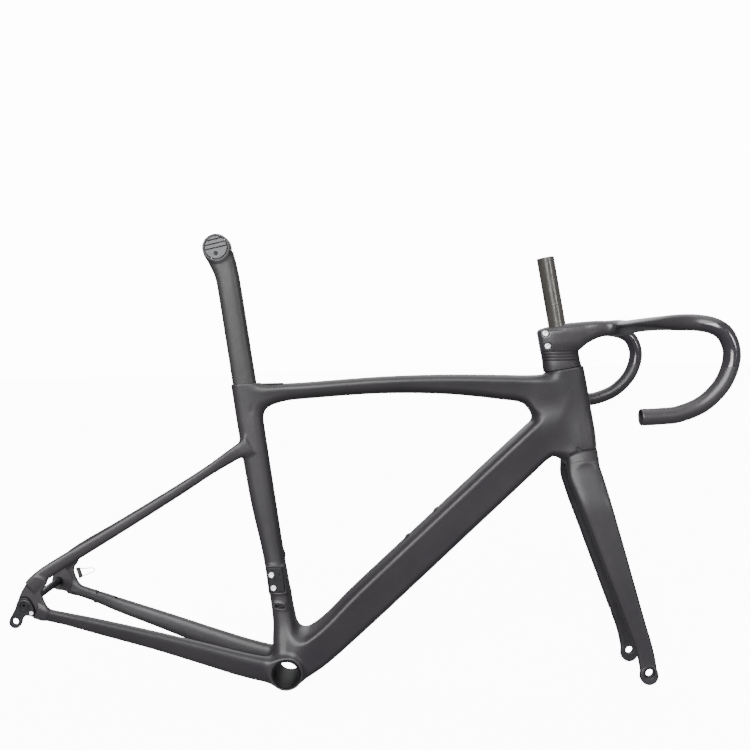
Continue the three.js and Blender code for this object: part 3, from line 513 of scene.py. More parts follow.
# ------------------------------------------------------------------ materials
def surface(name, color, roughness, metallic=0.0, mottle=0.12, grain=(900, 0.04), wave=(55, 0.03),
            rough_spread=0.06, coat=0.0, specular=0.35, tint=None, stretch=(1, 1, 1), lean=0.0, scale=9.0):
    """A finish whose colour, roughness and bump vary with position on the piece."""
    material = bpy.data.materials.new(name)
    material.use_nodes = True
    nodes, links = material.node_tree.nodes, material.node_tree.links
    shader = nodes["Principled BSDF"]
    shader.inputs["Metallic"].default_value = metallic
    shader.inputs["Specular IOR Level"].default_value = specular
    if coat:
        shader.inputs["Coat Weight"].default_value = coat
        shader.inputs["Coat Roughness"].default_value = 0.16
    where = nodes.new("ShaderNodeTexCoord")
    turn = nodes.new("ShaderNodeMapping")
    turn.inputs["Rotation"].default_value = (0, lean, 0)
    turn.inputs["Scale"].default_value = stretch
    links.new(where.outputs["Object"], turn.inputs["Vector"])

    def noise(size, detail, source=turn):
        made = nodes.new("ShaderNodeTexNoise")
        made.inputs["Scale"].default_value = size
        made.inputs["Detail"].default_value = detail
        links.new(source.outputs["Vector"], made.inputs["Vector"])
        return made

    patches = noise(scale, 5)
    ramp = nodes.new("ShaderNodeValToRGB")
    second = tint or color
    for stop, shade, level in ((0, color, 1 - mottle), (1, second, 1 + mottle)):
        ramp.color_ramp.elements[stop].position = 0.3 + 0.4 * stop
        ramp.color_ramp.elements[stop].color = (*[c * level for c in shade], 1)
    links.new(patches.outputs["Fac"], ramp.inputs["Fac"])
    links.new(ramp.outputs["Color"], shader.inputs["Base Color"])
    spread = nodes.new("ShaderNodeMapRange")
    spread.inputs["To Min"].default_value = roughness - rough_spread
    spread.inputs["To Max"].default_value = roughness + rough_spread
    smudge = noise(scale * 3.1, 4)
    links.new(smudge.outputs["Fac"], spread.inputs["Value"])
    links.new(spread.outputs["Result"], shader.inputs["Roughness"])
    last = None
    for (size, strength), detail in ((wave, 2), (grain, 3)):
        if strength <= 0:
            continue
        bump = nodes.new("ShaderNodeBump")
        bump.inputs["Strength"].default_value = strength
        bump.inputs["Distance"].default_value = 0.5 / size
        links.new(noise(size, detail).outputs["Fac"], bump.inputs["Height"])
        if last:
            links.new(last.outputs["Normal"], bump.inputs["Normal"])
        last = bump
    if last:
        links.new(last.outputs["Normal"], shader.inputs["Normal"])
    return material


CARBON = surface("satin_carbon", (0.0160, 0.0140, 0.0168), 0.46, coat=0.06, tint=(0.0190, 0.0170, 0.0190))
POST = surface("seatpost_carbon", (0.0185, 0.0185, 0.0195), 0.48, coat=0.05, tint=(0.022, 0.0215, 0.0222))
RAW = surface("bare_carbon", (0.032, 0.030, 0.027), 0.27, mottle=0.22, tint=(0.046, 0.043, 0.038),
              stretch=(10, 10, 1.4), lean=-HEAD_LEAN, coat=0.25, wave=(24, 0.05), grain=(300, 0.04))
# Silver steel for the bolts. Its near-white, barely metallic base colour is partly the steel's own light
# tone and partly a painted reflection that stands in for bright glints on the heads.
STEEL_PAINTED_REFLECTION = surface("steel_painted_reflection", (0.96, 0.96, 0.97), 0.28, metallic=0.25, mottle=0.06, scale=120,
                grain=(2500, 0.05), wave=(300, 0.02), rough_spread=0.08)
BLACK = surface("black_anodised", (0.016, 0.016, 0.018), 0.38, metallic=0.35, mottle=0.2, scale=60,
                grain=(3000, 0.06), wave=(120, 0.02))
GREY = surface("grey_anodised", (0.055, 0.055, 0.058), 0.38, metallic=0.9, mottle=0.1, scale=90,
               grain=(2600, 0.06), wave=(200, 0.02), rough_spread=0.08)
BAR_FINISH = surface("bar_carbon", (0.024, 0.0215, 0.0248), 0.34, coat=0.15, tint=(0.030, 0.0275, 0.0300))
GLOSS = surface("gloss_carbon", (0.017, 0.014, 0.018), 0.16, coat=0.6, tint=(0.022, 0.019, 0.023),
                rough_spread=0.03, specular=0.6)
# The bracket liner is a black part. It is darkened further, with little specular, as painted shade that
# keeps the inside of the bore dark.
LINER_PAINTED_SHADE = surface("liner_black_painted_shade", (0.006, 0.006, 0.0065), 0.55, specular=0.12, mottle=0.15, scale=70,
                grain=(2400, 0.05), wave=(120, 0.02))
RUBBER = surface("soft_rubber", (0.016, 0.016, 0.016), 0.72, mottle=0.25, scale=140,
                 grain=(1800, 0.12), wave=(200, 0.05))

# ------------------------------------------------------------------ the frame
SEAT_ROWS = [
    (-88.4, 510, -43.7, 512, 31),
    (-83.3, 471, -38.6, 473, 31),
    (-73.8, 397, -29.4, 397, 31),
    (-56, 277, -14.2, 277, 32),
    (-38, 187, -2.4, 187, 36),
    (-24.8, 90, 12.6, 90, 48),
    (-25, 46, 22, 46, 62),
    (-24, 4, 24, 4, 74),
]
TOP_ROWS = [
    (-58, 470.5, -52, 426, 30),
    (-28, 470.5, -22, 434, 30),
    (0, 471, 6, 441.5, 30),
    (43, 472.5, 46, 445, 34),
    (162, 478.6, 162, 450.3, 36),
    (268, 479.7, 268, 447, 38),
    (361, 477, 361, 436, 42),
    (402, 475.3, 399, 428, 44),
    (432, 475.5, 420, 405, 47),
    (462, 476, 456, 396, 48),
    (486, 474, 484, 394, 48),
]
DOWN_ROWS = [
    (478, 450, 498, 340, 51),
    (455, 437, 477, 338, 51),
    (432, 420, 456, 338, 51),
    (411, 399, 440, 336.5, 51),
    (354, 348, 398, 299.5, 52),
    (178, 190, 222, 141.3, 54),
    (107, 126, 150, 77, 58),
    (62, 82, 86.6, 22.5, 66),
    (34, 62, 52, -3.5, 74),
    (4, 50, 14, -23, 78),
    (-14, 20, -14, -20, 78),
]
HEAD_LENGTH, HEAD_FOOT = 134.5, -2.7
HEAD_ROWS = [
    (*steer(front, along), *steer(-28, along), width)
    for along, front, width in (
        (-16, 27.8, 58), (HEAD_FOOT, 28.6, 58), (26, 30.7, 55), (65, 30.7, 49), (105, 30.7, 48),
        (HEAD_LENGTH, 30, 50), (150, 29.6, 50)
    )
]
CHAINSTAY = [
    (-6, 27, -1, 42, 22), (-40, 31, 7, 40, 20), (-80, 34, 18.5, 38, 18), (-136, 39, 38, 34, 17),
    (-210, 48, 64, 28.5, 16), (-292, 59, 91, 23.5, 15), (-338, 67, 106.5, 19.5, 13),
    (-366, 71.5, 115, 19, 11), (-386, 74, 122, 22, 8),
]
SEATSTAY = [
    (-56, 11, 371, 26, 12), (-80, 14, 357, 22, 11), (-118, 25, 333.5, 17, 11),
    (-166, 34, 303.5, 17, 11.5), (-230, 43, 265.5, 18, 11.5), (-292, 53, 229.5, 19, 11.5),
    (-345, 64, 199.5, 20.5, 11.5), (-378, 71, 179, 21, 10.5), (-396, 74, 163, 20, 8),
]
DROPOUT = [
    (-389, 179), (-403, 166), (-412, 151), (-417.5, 134), (-417, 124), (-409, 117.5), (-398, 116),
    (-388, 112), (-375, 109), (-369, 122), (-372, 132), (-377, 144), (-378, 155), (-370, 170),
]
REAR_AXLE, DROPOUT_FACE, DROPOUT_THICK, AXLE_HOLE = (-404.7, 133.8), 71, 4.5, 12.4
REAR_CUT = -352.0  # the plane where the stays pass from the main shell to the finer rear ends


def add_stays(field, side, blend=9):
    """Both stays of one side."""
    field.join(limb(mirrored(CHAINSTAY, side), (0, 0.18 * side, 1), power=3.2), blend)
    field.join(limb(mirrored(SEATSTAY, side), (0, 0, 1), power=2.9), 8)


def add_dropout(field, side):
    """The plate around the rear axle, blended into the two stays and bored for the axle."""
    outer = DROPOUT_FACE + DROPOUT_THICK
    field.join(plate(rounded_outline(DROPOUT), side * DROPOUT_FACE, side * (outer + 1.2), 1.4), 5)
    inner = side * DROPOUT_FACE
    field.cut(cross_rod(62, REAR_AXLE[0] - 8, REAR_AXLE[1], inner - side * 30, inner), 2)
    field.cut(cross_rod(AXLE_HOLE, *REAR_AXLE, side * 60, side * 100))


SHELL_DIAMETER, SHELL_HALF, LINER_HOLE, LINER_RADII = 52.4, 43.25, 46.6, (20.5, 23)
main = Field((-358, -80, -34), (528, 80, 520), 1.3)
main.join(web([
    (HEAD_ROWS, 0, 0, 19), (DOWN_ROWS, 18, 0.14, 13), (TOP_ROWS, 16, 0.16, 13), (SEAT_ROWS, 22, 0, 18),
], 2.4))
# All above the seat tube and the top tube's root.
seat_top = [(-110, 470.1), (-37, 473.1), (-32, 471.4), (0, 471.6), (40, 473.2), (40, 540), (-110, 540)]
main.cut(plate(seat_top, -40, 40), 0.8)
main.join(cross_rod(SHELL_DIAMETER, 0, 0, -SHELL_HALF, SHELL_HALF, 1.6), 12)
for side in (-1, 1):
    add_stays(main, side, 14)
main.keep(half_space((REAR_CUT, 0, 0), (-1, 0, 0)))
# The round ends of the bracket shell stand free of the tubes that run into it.
for side in (-1, 1):
    main.cut(plate([(-40, -40), (60, -40), (60, 60), (-40, 60)], side * SHELL_HALF, side * 90), 1.5)
main.cut(cross_rod(LINER_HOLE, 0, 0, -60, 60))


# The steering axis: square ends for the head tube, the steerer's passage and the bearing seats.
head_top = [steer(forward, along) for forward, along in
            ((-52, HEAD_LENGTH), (60, HEAD_LENGTH), (60, 200), (-52, 200))]
main.cut(plate(head_top, -60, 60), 0.8)
main.cut(steer_rod(63, -60, HEAD_FOOT), 0.6)
main.cut(steer_rod(36.6, -10, 150))
main.cut(steer_rod(52.6, -20, 5.3))
main.cut(steer_rod(41.0, 0, 22), 3)
# The fork's shoulders turn in a hollow under the head tube.
for low, high, diameter in ((-60, -20, 76), (-22, -14, 68), (-16, -8, 62), (-9, HEAD_FOOT, 59)):
    main.cut(steer_rod(diameter, low, high, 1.5), 2)
main.cut(steer_rod(42.4, HEAD_LENGTH - 7.6, 160))
# The seatpost's bore, closer below, where only the post's slimmer foot reaches.
main.cut(strip(post_rows((-108, -40, 20), 0.3), power=2.9), 0.4)
main.cut(strip(post_rows((-176, -140, -104), -1.3), power=2.9))

# Bottle-cage bosses: the skin swells a little round each bolt.
BOTTLE_BOLTS = {
    "seat_tube_upper": ((-3.4, 188), (0.99, 0.14)),
    "seat_tube_lower": ((5.2, 124), (0.99, 0.14)),
    "down_tube_lower": ((203, 212.6), (-0.669, 0.743)),
    "down_tube_upper": ((251, 255.6), (-0.669, 0.743)),
}


def beside(at, out, distance):
    """The point on a bolt's axis at a distance out of the skin."""
    return at[0] + out[0] * distance, 0, at[1] + out[1] * distance


for at, out in BOTTLE_BOLTS.values():
    main.join(rod(12, beside(at, out, -6), beside(at, out, 0.5), 1.0), 5)
    main.cut(rod(9.6, beside(at, out, 0), beside(at, out, 12)), 0.8)
    main.cut(rod(5.6, beside(at, out, -20), beside(at, out, 12)))

# The front derailleur mount sits in a pocket on the right of the seat tube.
MOUNT_OUTLINE = [(-29.5, 170), (-5, 170), (-1, 129), (-25.5, 129)]
MOUNT_FACE = -21
MOUNT_SCREWS = {"upper": (-22.5, 158), "lower": (-19.5, 136.5)}
PORT_OUTLINE = [(-19, 111), (-4, 108), (-2, 102), (-17, 104)]


main.join(plate(grown(MOUNT_OUTLINE, 2.2), -10, MOUNT_FACE + 0.2, 2.0), 6)
main.cut(plate(grown(MOUNT_OUTLINE, 0.4), -12, MOUNT_FACE - 20), 0.5)
main.join(plate(grown(PORT_OUTLINE, 1.8), -12, -22.6, 1.5), 5)
main.cut(plate(grown(PORT_OUTLINE, 0.3), -16, -50), 0.4)

# The recess for the seat clamp's cover, in front of the post.
COVER = (-16, 470.6, 37, 18, 3)


main.cut(brick(COVER[0], 0, COVER[1], COVER[2] + 0.8, COVER[3] + 0.8, COVER[4] + 0.8, 1.2), 0.3)

# The rear brake is held by two sleeves through the left chainstay.
REAR_SLEEVES = {"front": (-304, 93, 61.2), "rear": (-337, 104.6, 66.8)}  # x, z and y
SLEEVE_LEAN, SLEEVE_HOLE = (0.33, 0, 0.944), 9.0


def sleeve_rod(spot, diameter, half):
    """A rod along a sleeve's axis, `half` long each way from its middle."""
    x, z, y = spot
    dx, _, dz = SLEEVE_LEAN
    return rod(diameter, *[(x + s * half * dx, y, z + s * half * dz) for s in (-1, 1)])


for spot in REAR_SLEEVES.values():
    main.cut(sleeve_rod(spot, SLEEVE_HOLE, 25))

FRAME_NODES = ["head_tube", "top_tube", "down_tube", "seat_tube", "bottom_bracket_shell",
               "chainstay_right", "chainstay_left", "seatstay_right", "seatstay_left"]
skin(main, "frame_shell", "frame", CARBON, FRAME_NODES)

HANGER = [
    (-416, 139), (-410, 146), (-400, 145), (-393, 136), (-389.5, 126), (-389.5, 119.5), (-394, 116.6),
    (-401, 118), (-407, 113.5), (-409.5, 105), (-415, 99), (-423, 98.8), (-428.5, 104), (-429, 111),
    (-424.5, 120), (-419, 130),
]
HANGER_FACE = -(DROPOUT_FACE + DROPOUT_THICK + 0.3)
HANGER_MIDDLE, HANGER_SCREW = (-409, 124), (-394, 121.5)
for name, side in (("right", -1), ("left", 1)):
    rear = Field((-424, min(side * 52, side * 84), 84), (REAR_CUT + 2.5, max(side * 52, side * 84), 222),
                 0.6)
    add_stays(rear, side)
    add_dropout(rear, side)
    outer = side * (DROPOUT_FACE + DROPOUT_THICK)
    if name == "right":
        pocket = (np.array(HANGER) - HANGER_MIDDLE) * 1.03 + HANGER_MIDDLE
        rear.cut(plate(rounded_outline(pocket, 3), outer, outer - 20), 0.3)
    else:
        rear.cut(cross_rod(21, *REAR_AXLE, outer, outer + 20), 0.5)
    rear.keep(half_space((REAR_CUT + 1.6, 0, 0), (1, 0, 0)))
    skin(rear, f"rear_end_{name}", "frame", CARBON, [f"dropout_{name}"])

# ------------------------------------------------------------------ the fork
LEG = [
    (488, 22, 341, 42, 12), (492, 30, 314, 54, 19), (499, 36, 289, 53, 20.5), (507, 41.5, 262, 50, 20),
    (518.5, 44.3, 225, 45.8, 18.5),
    (533.4, 47, 176, 41, 17), (563.5, 51.5, 77, 31, 13), (575.5, 53.5, 38, 28, 10),
    (581.5, 54, 10, 27.5, 8.4), (584, 54, -11, 27, 8.4),
]
CROWN_TOP = -3
CROWN_ROWS = [
    (*steer(front, along), *steer(rear, along), width)
    for along, front, rear, width in (
        (CROWN_TOP, 28.2, -26.5, 55), (-9, 28.4, -27, 59.5), (-15, 28.4, -27.5, 63.5),
        (-22, 28.2, -27.5, 67), (-46, 20, -19, 50),
    )
]
TIP = (584, -11.5)
FRONT_AXLE, HUB_FACE, TIP_THICK = (584, -6), 50, 8
BRAKE_INSERTS = {"upper": (528.5, 131, 50), "lower": (552.5, 65, 52.6)}

fork = Field((436, -66, -30), (622, 66, 356), 1.0)
fork.join(strip(CROWN_ROWS, power=2.4, edge=1.2))
for side in (-1, 1):
    fork.join(limb(mirrored(LEG, side), (1, 0, 0), power=3.4), 14)
fork.cut(cross_rod(700, *FRONT_AXLE, -18, 18, 6), 6)
for side in (-1, 1):
    outer = side * (HUB_FACE + TIP_THICK)
    fork.join(cross_rod(29.4, *TIP, side * HUB_FACE, outer, 1.2), 3)
    fork.cut(plate([(540, -40), (640, -40), (640, 8), (540, 8)], side * 30, side * HUB_FACE), 0.5)
    fork.cut(cross_rod(AXLE_HOLE, *FRONT_AXLE, side * 40, side * 70))
    fork.cut(cross_rod(17.8, *FRONT_AXLE, outer - side * 2, side * 70), 0.3)
fork.cut(steer_rod(40.2, -50, 30))
for x, z, y in BRAKE_INSERTS.values():
    fork.cut(rod(8.8, (x - 20, y, z - 7.3), (x + 9.7, y, z + 3.55)), 0.3)
skin(fork, "fork_shell", "fork", CARBON, ["fork_crown", "fork_leg_right", "fork_leg_left"])

# ------------------------------------------------------------------ the handlebar and stem
BAR = [
    (568, 0, 549.8, 21, 44), (572, 45, 551, 21, 41), (576, 100, 551.6, 20.5, 41),
    (583, 152, 551.5, 21.5, 33), (594, 186, 551, 23.8, 23.8), (612, 207, 549.4, 23.8, 23.8),
    (632, 216, 543.9, 23.8, 23.8), (647, 219, 531.9, 23.8, 23.8), (655, 220, 509.4, 23.8, 23.8),
    (651.6, 220.5, 484.4, 23.8, 23.8), (638, 221, 458.4, 23.8, 23.8), (612, 222, 434.9, 23.8, 23.8),
    (579, 223, 421.9, 23.8, 23.8), (552, 223.5, 419.2, 23.8, 23.8), (524, 224, 418.4, 23.8, 23.8),
]
BAR_WALL = 2.2
SPACER_FRONT, SPACER_REAR, SPACER_WIDTH, COVER_TOP, SPACER_HEIGHT = 27.3, -34.5, 36, 498.3, 4.6
STEM_FOOT = 513.3
STEM_ROWS = [
    (426, 550, 431.5, STEM_FOOT, 31), (443, 554.5, 447, STEM_FOOT, 37), (468, 559, 472, STEM_FOOT, 40),
    (489, 560.8, 492, STEM_FOOT + 1, 40), (501, 561.5, 504, 523.5, 39), (522, 562.5, 524, 533.5, 40),
    (542, 561.3, 544, 537.5, 36), (558, 558.5, 559, 541, 22), (570, 555, 571, 544, 10),
]
STEM_BOLTS = {"upper": steer(-24, 197.5), "lower": steer(-24, 176.4)}
SCREW_SEAT = -10.0


def column(low, high, front, rear, width):
    """A level-ended column that leans with the steering axis, with the section of the spacers."""
    def distance(px, py, pz):
        along = (pz - HEAD_AT[1]) / math.cos(HEAD_LEAN)
        x = HEAD_AT[0] - along * math.sin(HEAD_LEAN) + (front + rear) / 2 / math.cos(HEAD_LEAN)
        round_part = section(px - x, py, (front - rear) / 2, width / 2, 2.6)
        return np.maximum(round_part, np.maximum(low - pz, pz - high))

    first, last = steer(rear - 12, 200)[0], steer(front + 12, 130)[0]
    return (first, -width / 2, low), (last, width / 2, high), distance


bar = Field((420, -242, 398), (676, 242, 574), 1.2)
bar.join(strip(STEM_ROWS, power=3.4, edge=4))
bar.join(column(STEM_FOOT, 545, SPACER_FRONT, SPACER_REAR, SPACER_WIDTH), 4)
bar.join(limb([*reversed(mirrored(BAR[1:], -1)), *BAR], (0, 0.3, 1), power=2.1), 16)
for side in (-1, 1):
    bore = [(x, y, z, h - 2 * BAR_WALL, w - 2 * BAR_WALL) for x, y, z, h, w in mirrored(BAR[10:], side)]
    bore.append((516, 224.1 * side, 418.3, 19.4, 19.4))
    bar.cut(limb(bore, (0, -0.3 * side, 1), power=2.0))
bar.cut(steer_rod(29.2, 140, 240), 0.4)
# The pinch slot behind the steerer.
slot_outline = [steer(forward, along) for forward, along in ((-44, 130), (-8, 130), (-8, 240), (-44, 240))]
bar.cut(plate(slot_outline, -1.3, 1.3))
for x, z in STEM_BOLTS.values():
    bar.cut(cross_rod(10.4, x, z, SCREW_SEAT, -40), 0.5)

shell_mesh = skin(bar, "handlebar_shell", "fork", BAR_FINISH, ["handlebar"]).data
# The upper half of each bend has a clear gloss coat.
shell_mesh.materials.append(GLOSS)
for face in shell_mesh.polygons:
    x, _, z = np.array(face.center) / MM - BRACKET
    if x > 612 and 486 < z < 547:
        face.material_index = 1

# ------------------------------------------------------------------ the seatpost
POST_HEAD, HEAD_WIDTH, BARREL = (-100.2, 696.2), 24, 37
POST_ROWS = [
    *post_rows((-105, -40), -2.3), *post_rows((-30, 60, 152)),
    (*seat(-20.6, 182), *seat(18.8, 182), 26), (*seat(-26.5, 203), *seat(17.4, 203), 25),
    (*seat(-31.5, 219), *seat(15.4, 219), 24.5),
]
post = Field((-132, -16, 360), (-30, 16, 724), 0.7)
post.join(strip(POST_ROWS, power=2.9))
post.join(cross_rod(46, *POST_HEAD, -HEAD_WIDTH / 2, HEAD_WIDTH / 2, 1.5), 6)
post.cut(cross_rod(BARREL + 0.6, *POST_HEAD, -60, 60), 0.5)
skin(post, "seatpost_shell", "seatpost", POST, ["seatpost"])

# ------------------------------------------------------------------ turned pieces and screws
HEX = "hex"


def turned(name, profile, centre, axis, body, material, replaced=(), segments=72, closed=False):
    """A turned piece from (radius, along) points, or (corner radius, along, HEX) for a hexagon.

    `centre` is in millimetres from the bracket. A closed profile makes a ring.
    """
    turn = Vector(axis).normalized().to_track_quat("Z", "X").to_matrix()
    origin = Vector(centre)
    shape = bmesh.new()
    rings = []
    for radius, along, *kind in profile:
        ring = []
        for i in range(segments if radius > 0 else 1):
            angle = 2 * math.pi * i / segments
            reach = radius
            if kind:
                part = angle % (math.pi / 3) - math.pi / 6
                reach = radius * math.cos(math.pi / 6) / math.cos(part)
            local = Vector((reach * math.cos(angle), reach * math.sin(angle), along))
            ring.append(shape.verts.new(place(*(origin + turn @ local))))
        rings.append(ring)
    pairs = list(zip(rings, rings[1:])) + ([(rings[-1], rings[0])] if closed else [])
    for a, b in pairs:
        for i in range(segments):
            j = (i + 1) % segments
            corners = [a[i % len(a)], a[j % len(a)], b[j % len(b)], b[i % len(b)]]
            shape.faces.new(list(dict.fromkeys(corners)))
    return finish_mesh(shape, name, body, material, replaced, sharp=28)


def ring_profile(inner, outer, low, high, chamfer=0.4):
    """The section of a ring with broken edges."""
    c = chamfer
    return [(inner, low + c), (inner + c, low), (outer - c, low), (outer, low + c),
            (outer, high - c), (outer - c, high), (inner + c, high), (inner, high - c)]


def screw(name, face, axis, head, height, socket, shank, depth, body, material, replaced):
    """A socket-head screw. `face` is the middle of the head's outer face and `axis` points out of it."""
    r, c = head / 2, head * 0.07
    profile = [
        (0, -depth), (shank / 2, -depth), (shank / 2, -height), (r - c / 2, -height), (r, -height + c / 2),
        (r, -c), (r - c * 0.3, -c * 0.3), (r - c, 0),
        (socket / 2 + c * 0.9, 0), (socket / 2 + c * 0.2, -c * 0.5),
        (socket / 2, -c * 0.7, HEX), (socket / 2, -height * 0.62, HEX), (0, -height * 0.78),
    ]
    return turned(name, profile, face, axis, body, material, replaced)


turned("bracket_liner", ring_profile(*LINER_RADII, -SHELL_HALF, SHELL_HALF, 0.9), (0, 0, 0), (0, 1, 0),
       "frame", LINER_PAINTED_SHADE, ["bottom_bracket_liner"], 120, closed=True)
STEER_AXIS = (-math.sin(HEAD_LEAN), 0, math.cos(HEAD_LEAN))
steer_origin = (HEAD_AT[0], 0, HEAD_AT[1])
turned("steerer", [(11.7, 320.1), (11.7, 60), (16.8, 14), (16.8, -18), (19.8, -18), (19.8, 14), (14.3, 60),
                   (14.3, 320.1), (13.7, 320.7), (12.3, 320.7)],
       steer_origin, STEER_AXIS, "fork", RAW, ["steerer_tube"], 96, closed=True)
for name, (at, out) in BOTTLE_BOLTS.items():
    screw(f"bottle_screw_{name}", beside(at, out, 2.4), (out[0], 0, out[1]), 9, 2.1, 4, 5, 11, "frame",
          BLACK, [f"bottle_bolt_{name}"])
for name, (x, z) in MOUNT_SCREWS.items():
    screw(f"mount_screw_{name}", (x, MOUNT_FACE - 2.6, z), (0, -1, 0), 8.8, 2.3, 4.4, 5, 10, "frame",
          STEEL_PAINTED_REFLECTION, [f"derailleur_mount_bolt_{name}"])
for name, (x, z) in STEM_BOLTS.items():
    screw(f"stem_screw_{name}", (x, SCREW_SEAT - 5.6, z), (0, -1, 0), 9.4, 5, 4.6, 5, 27, "fork",
          STEEL_PAINTED_REFLECTION, [f"stem_bolt_{name}"])
screw("hanger_screw", (HANGER_SCREW[0], HANGER_FACE - 4.2, HANGER_SCREW[1]), (0, -1, 0), 6.4, 1.7, 3, 3.2,
      8, "frame", STEEL_PAINTED_REFLECTION, ["hanger_bolt"])
for name, side in (("right", -1), ("left", 1)):
    turned(f"tip_insert_{name}", ring_profile(6.2, 8.5, -1.7, 0.4, 0.35),
           (FRONT_AXLE[0], side * (HUB_FACE + TIP_THICK), FRONT_AXLE[1]), (0, side, 0), "fork", BLACK,
           [f"fork_axle_insert_{name}"], 96, closed=True)
turned("axle_insert_rear", ring_profile(6.2, 10.2, 0.3, 2.6, 0.4),
       (REAR_AXLE[0], DROPOUT_FACE + DROPOUT_THICK, REAR_AXLE[1]), (0, 1, 0), "frame", BLACK,
       ["rear_axle_insert"], 96, closed=True)
END, NUT = HANGER_FACE - 3.6, DROPOUT_FACE + DROPOUT_THICK + 2.6  # the axle's thread end and its head
turned("through_axle",
       [(0, END + 5), (2.6, END + 5, HEX), (2.6, END, HEX), (5.4, END), (6, END + 0.6), (6, NUT + 0.3),
        (8.2, NUT + 0.3), (8.5, NUT + 0.6), (8.5, NUT + 2.2), (7.9, NUT + 2.8), (3.4, NUT + 2.8),
        (3, NUT + 2.4, HEX), (3, NUT - 6, HEX), (0, NUT - 6)],
       (REAR_AXLE[0], 0, REAR_AXLE[1]), (0, 1, 0), "frame", BLACK, ["rear_through_axle"])
for name, (x, z, y) in REAR_SLEEVES.items():
    turned(f"brake_sleeve_{name}", ring_profile(2.6, 4.2, -9.2, 9.2, 0.4), (x, y, z), SLEEVE_LEAN,
           "frame", GREY, [f"rear_brake_sleeve_{name}"], 48, closed=True)
for name, (x, z, y) in BRAKE_INSERTS.items():
    turned(f"brake_insert_{name}",
           [(0, 10), (4, 10), (4, 0.3), (3.7, 0), (2.9, 0), (2.6, 0.3), (2.6, 8.5), (0, 8.5)],
           (x, y, z), (9.4, 0, 3.45), "fork", GREY, [f"front_brake_insert_{name}"], 48)

# ------------------------------------------------------------------ small moulded and machined pieces
hanger = Field((-431, HANGER_FACE - 5.5, 96.5), (-387, HANGER_FACE + 1, 148.5), 0.4)
hanger.join(plate(rounded_outline(HANGER, 4), HANGER_FACE, HANGER_FACE - 4, 0.7))
hanger.join(cross_rod(16.4, *REAR_AXLE, HANGER_FACE, HANGER_FACE - 4.6, 0.5), 0.8)
hanger.cut(cross_rod(AXLE_HOLE, *REAR_AXLE, -60, -100), 0.3)
hanger.cut(cross_rod(9.2, -419, 109.5, -60, -100), 0.5)
hanger.cut(cross_rod(3.8, *HANGER_SCREW, -60, -100))
hanger.cut(cross_rod(7.0, *HANGER_SCREW, HANGER_FACE - 2.2, -100), 0.3)
skin(hanger, "hanger", "frame", BLACK, ["derailleur_hanger"])

mount = Field((-31, MOUNT_FACE - 1, 127.5), (0.5, -10, 171.5), 0.4)
mount.join(plate(rounded_outline(grown(MOUNT_OUTLINE, -0.1), 1), -11, MOUNT_FACE, 0.8))
for x, z in MOUNT_SCREWS.values():
    mount.cut(cross_rod(5.6, x, z, 0, -40))
mount.cut(cross_rod(2.4, -8.6, 157.5, MOUNT_FACE + 2, -40), 0.4)
skin(mount, "derailleur_mount", "frame", BLACK, ["front_derailleur_mount"])

port = Field((-21, -25, 100), (0, -17, 113), 0.35)
port.join(plate(PORT_OUTLINE, -18, -24, 0.6))
port.cut(plate(grown(PORT_OUTLINE, -1.5), 0, -60), 0.4)
skin(port, "cable_port", "frame", BLACK, ["derailleur_cable_port"])

cover = Field((-36, -10, 468.4), (4, 10, 472.8), 0.35)
cover.join(brick(COVER[0], 0, COVER[1], COVER[2], COVER[3], COVER[4], 0.9))
for offset in (-13, 13):
    cover.cut(brick(COVER[0] + offset, 0, 472.1, 0.6, 14, 1.2, 0.2), 0.3)
skin(cover, "clamp_cover", "frame", RUBBER, ["seatpost_wedge_cover"])


def level(forward, z):
    """The point at height z on a line parallel to the steering axis."""
    along = (z - HEAD_AT[1] - forward * math.sin(HEAD_LEAN)) / math.cos(HEAD_LEAN)
    return steer(forward, along)


STACK_POWER, STEERER_HOLE, RING_POINTS = 2.6, 14.6, 96


def loop(shape, centre_x, z, half_length, half_width, power, slope=0.0):
    """A level or sloping superellipse ring of vertices."""
    made = []
    for i in range(RING_POINTS):
        angle = 2 * math.pi * i / RING_POINTS
        c, w = math.cos(angle), math.sin(angle)
        x = math.copysign(abs(c) ** (2 / power), c) * half_length
        y = math.copysign(abs(w) ** (2 / power), w) * half_width
        made.append(shape.verts.new(place(centre_x + x, y, z + x * slope)))
    return made


def stack_piece(name, low, high, node, foot=False):
    """One ring of the stack between the head tube and the stem, bored for the steerer."""
    shape = bmesh.new()
    loops = []
    bore = STEERER_HOLE / math.cos(HEAD_LEAN)
    rims = ((low, 0.7), (low + 0.6, 0.1), (low + 1.2, 0), (high - 1.2, 0), (high - 0.6, 0.1), (high, 0.7))
    for z, inset in rims:
        slope, extra = 0.0, 0.0
        if foot and z < high - 2:
            share = (high - z) / (high - low)
            slope, extra = math.tan(HEAD_LEAN) * share, share
        front, rear = level(SPACER_FRONT, z)[0], level(SPACER_REAR, z)[0]
        loops.append(loop(shape, (front + rear) / 2, z, (front - rear) / 2 - inset,
                          SPACER_WIDTH / 2 + extra - inset, STACK_POWER, slope))
    for z in (high, low):
        slope = math.tan(HEAD_LEAN) if foot and z == low else 0.0
        loops.append(loop(shape, level(0, z)[0], z, bore, STEERER_HOLE, 2, slope))
    for a, b in zip(loops, loops[1:] + loops[:1]):
        for i in range(len(a)):
            j = (i + 1) % len(a)
            shape.faces.new([a[i], a[j], b[j], b[i]])
    finish_mesh(shape, name, "fork", CARBON, [node])


middle = (SPACER_FRONT + SPACER_REAR) / 2
COVER_FOOT = steer(middle, HEAD_LENGTH + 0.3)[1]
stack_piece("top_cover", COVER_FOOT, COVER_TOP + 0.12, "headset_top_cover", foot=True)
for step in (1, 2, 3):
    low = COVER_TOP + 0.3 * step + SPACER_HEIGHT * (step - 1)
    stack_piece(f"spacer_{step}", low - 0.12, low + SPACER_HEIGHT + 0.12, f"headset_spacer_{step}")

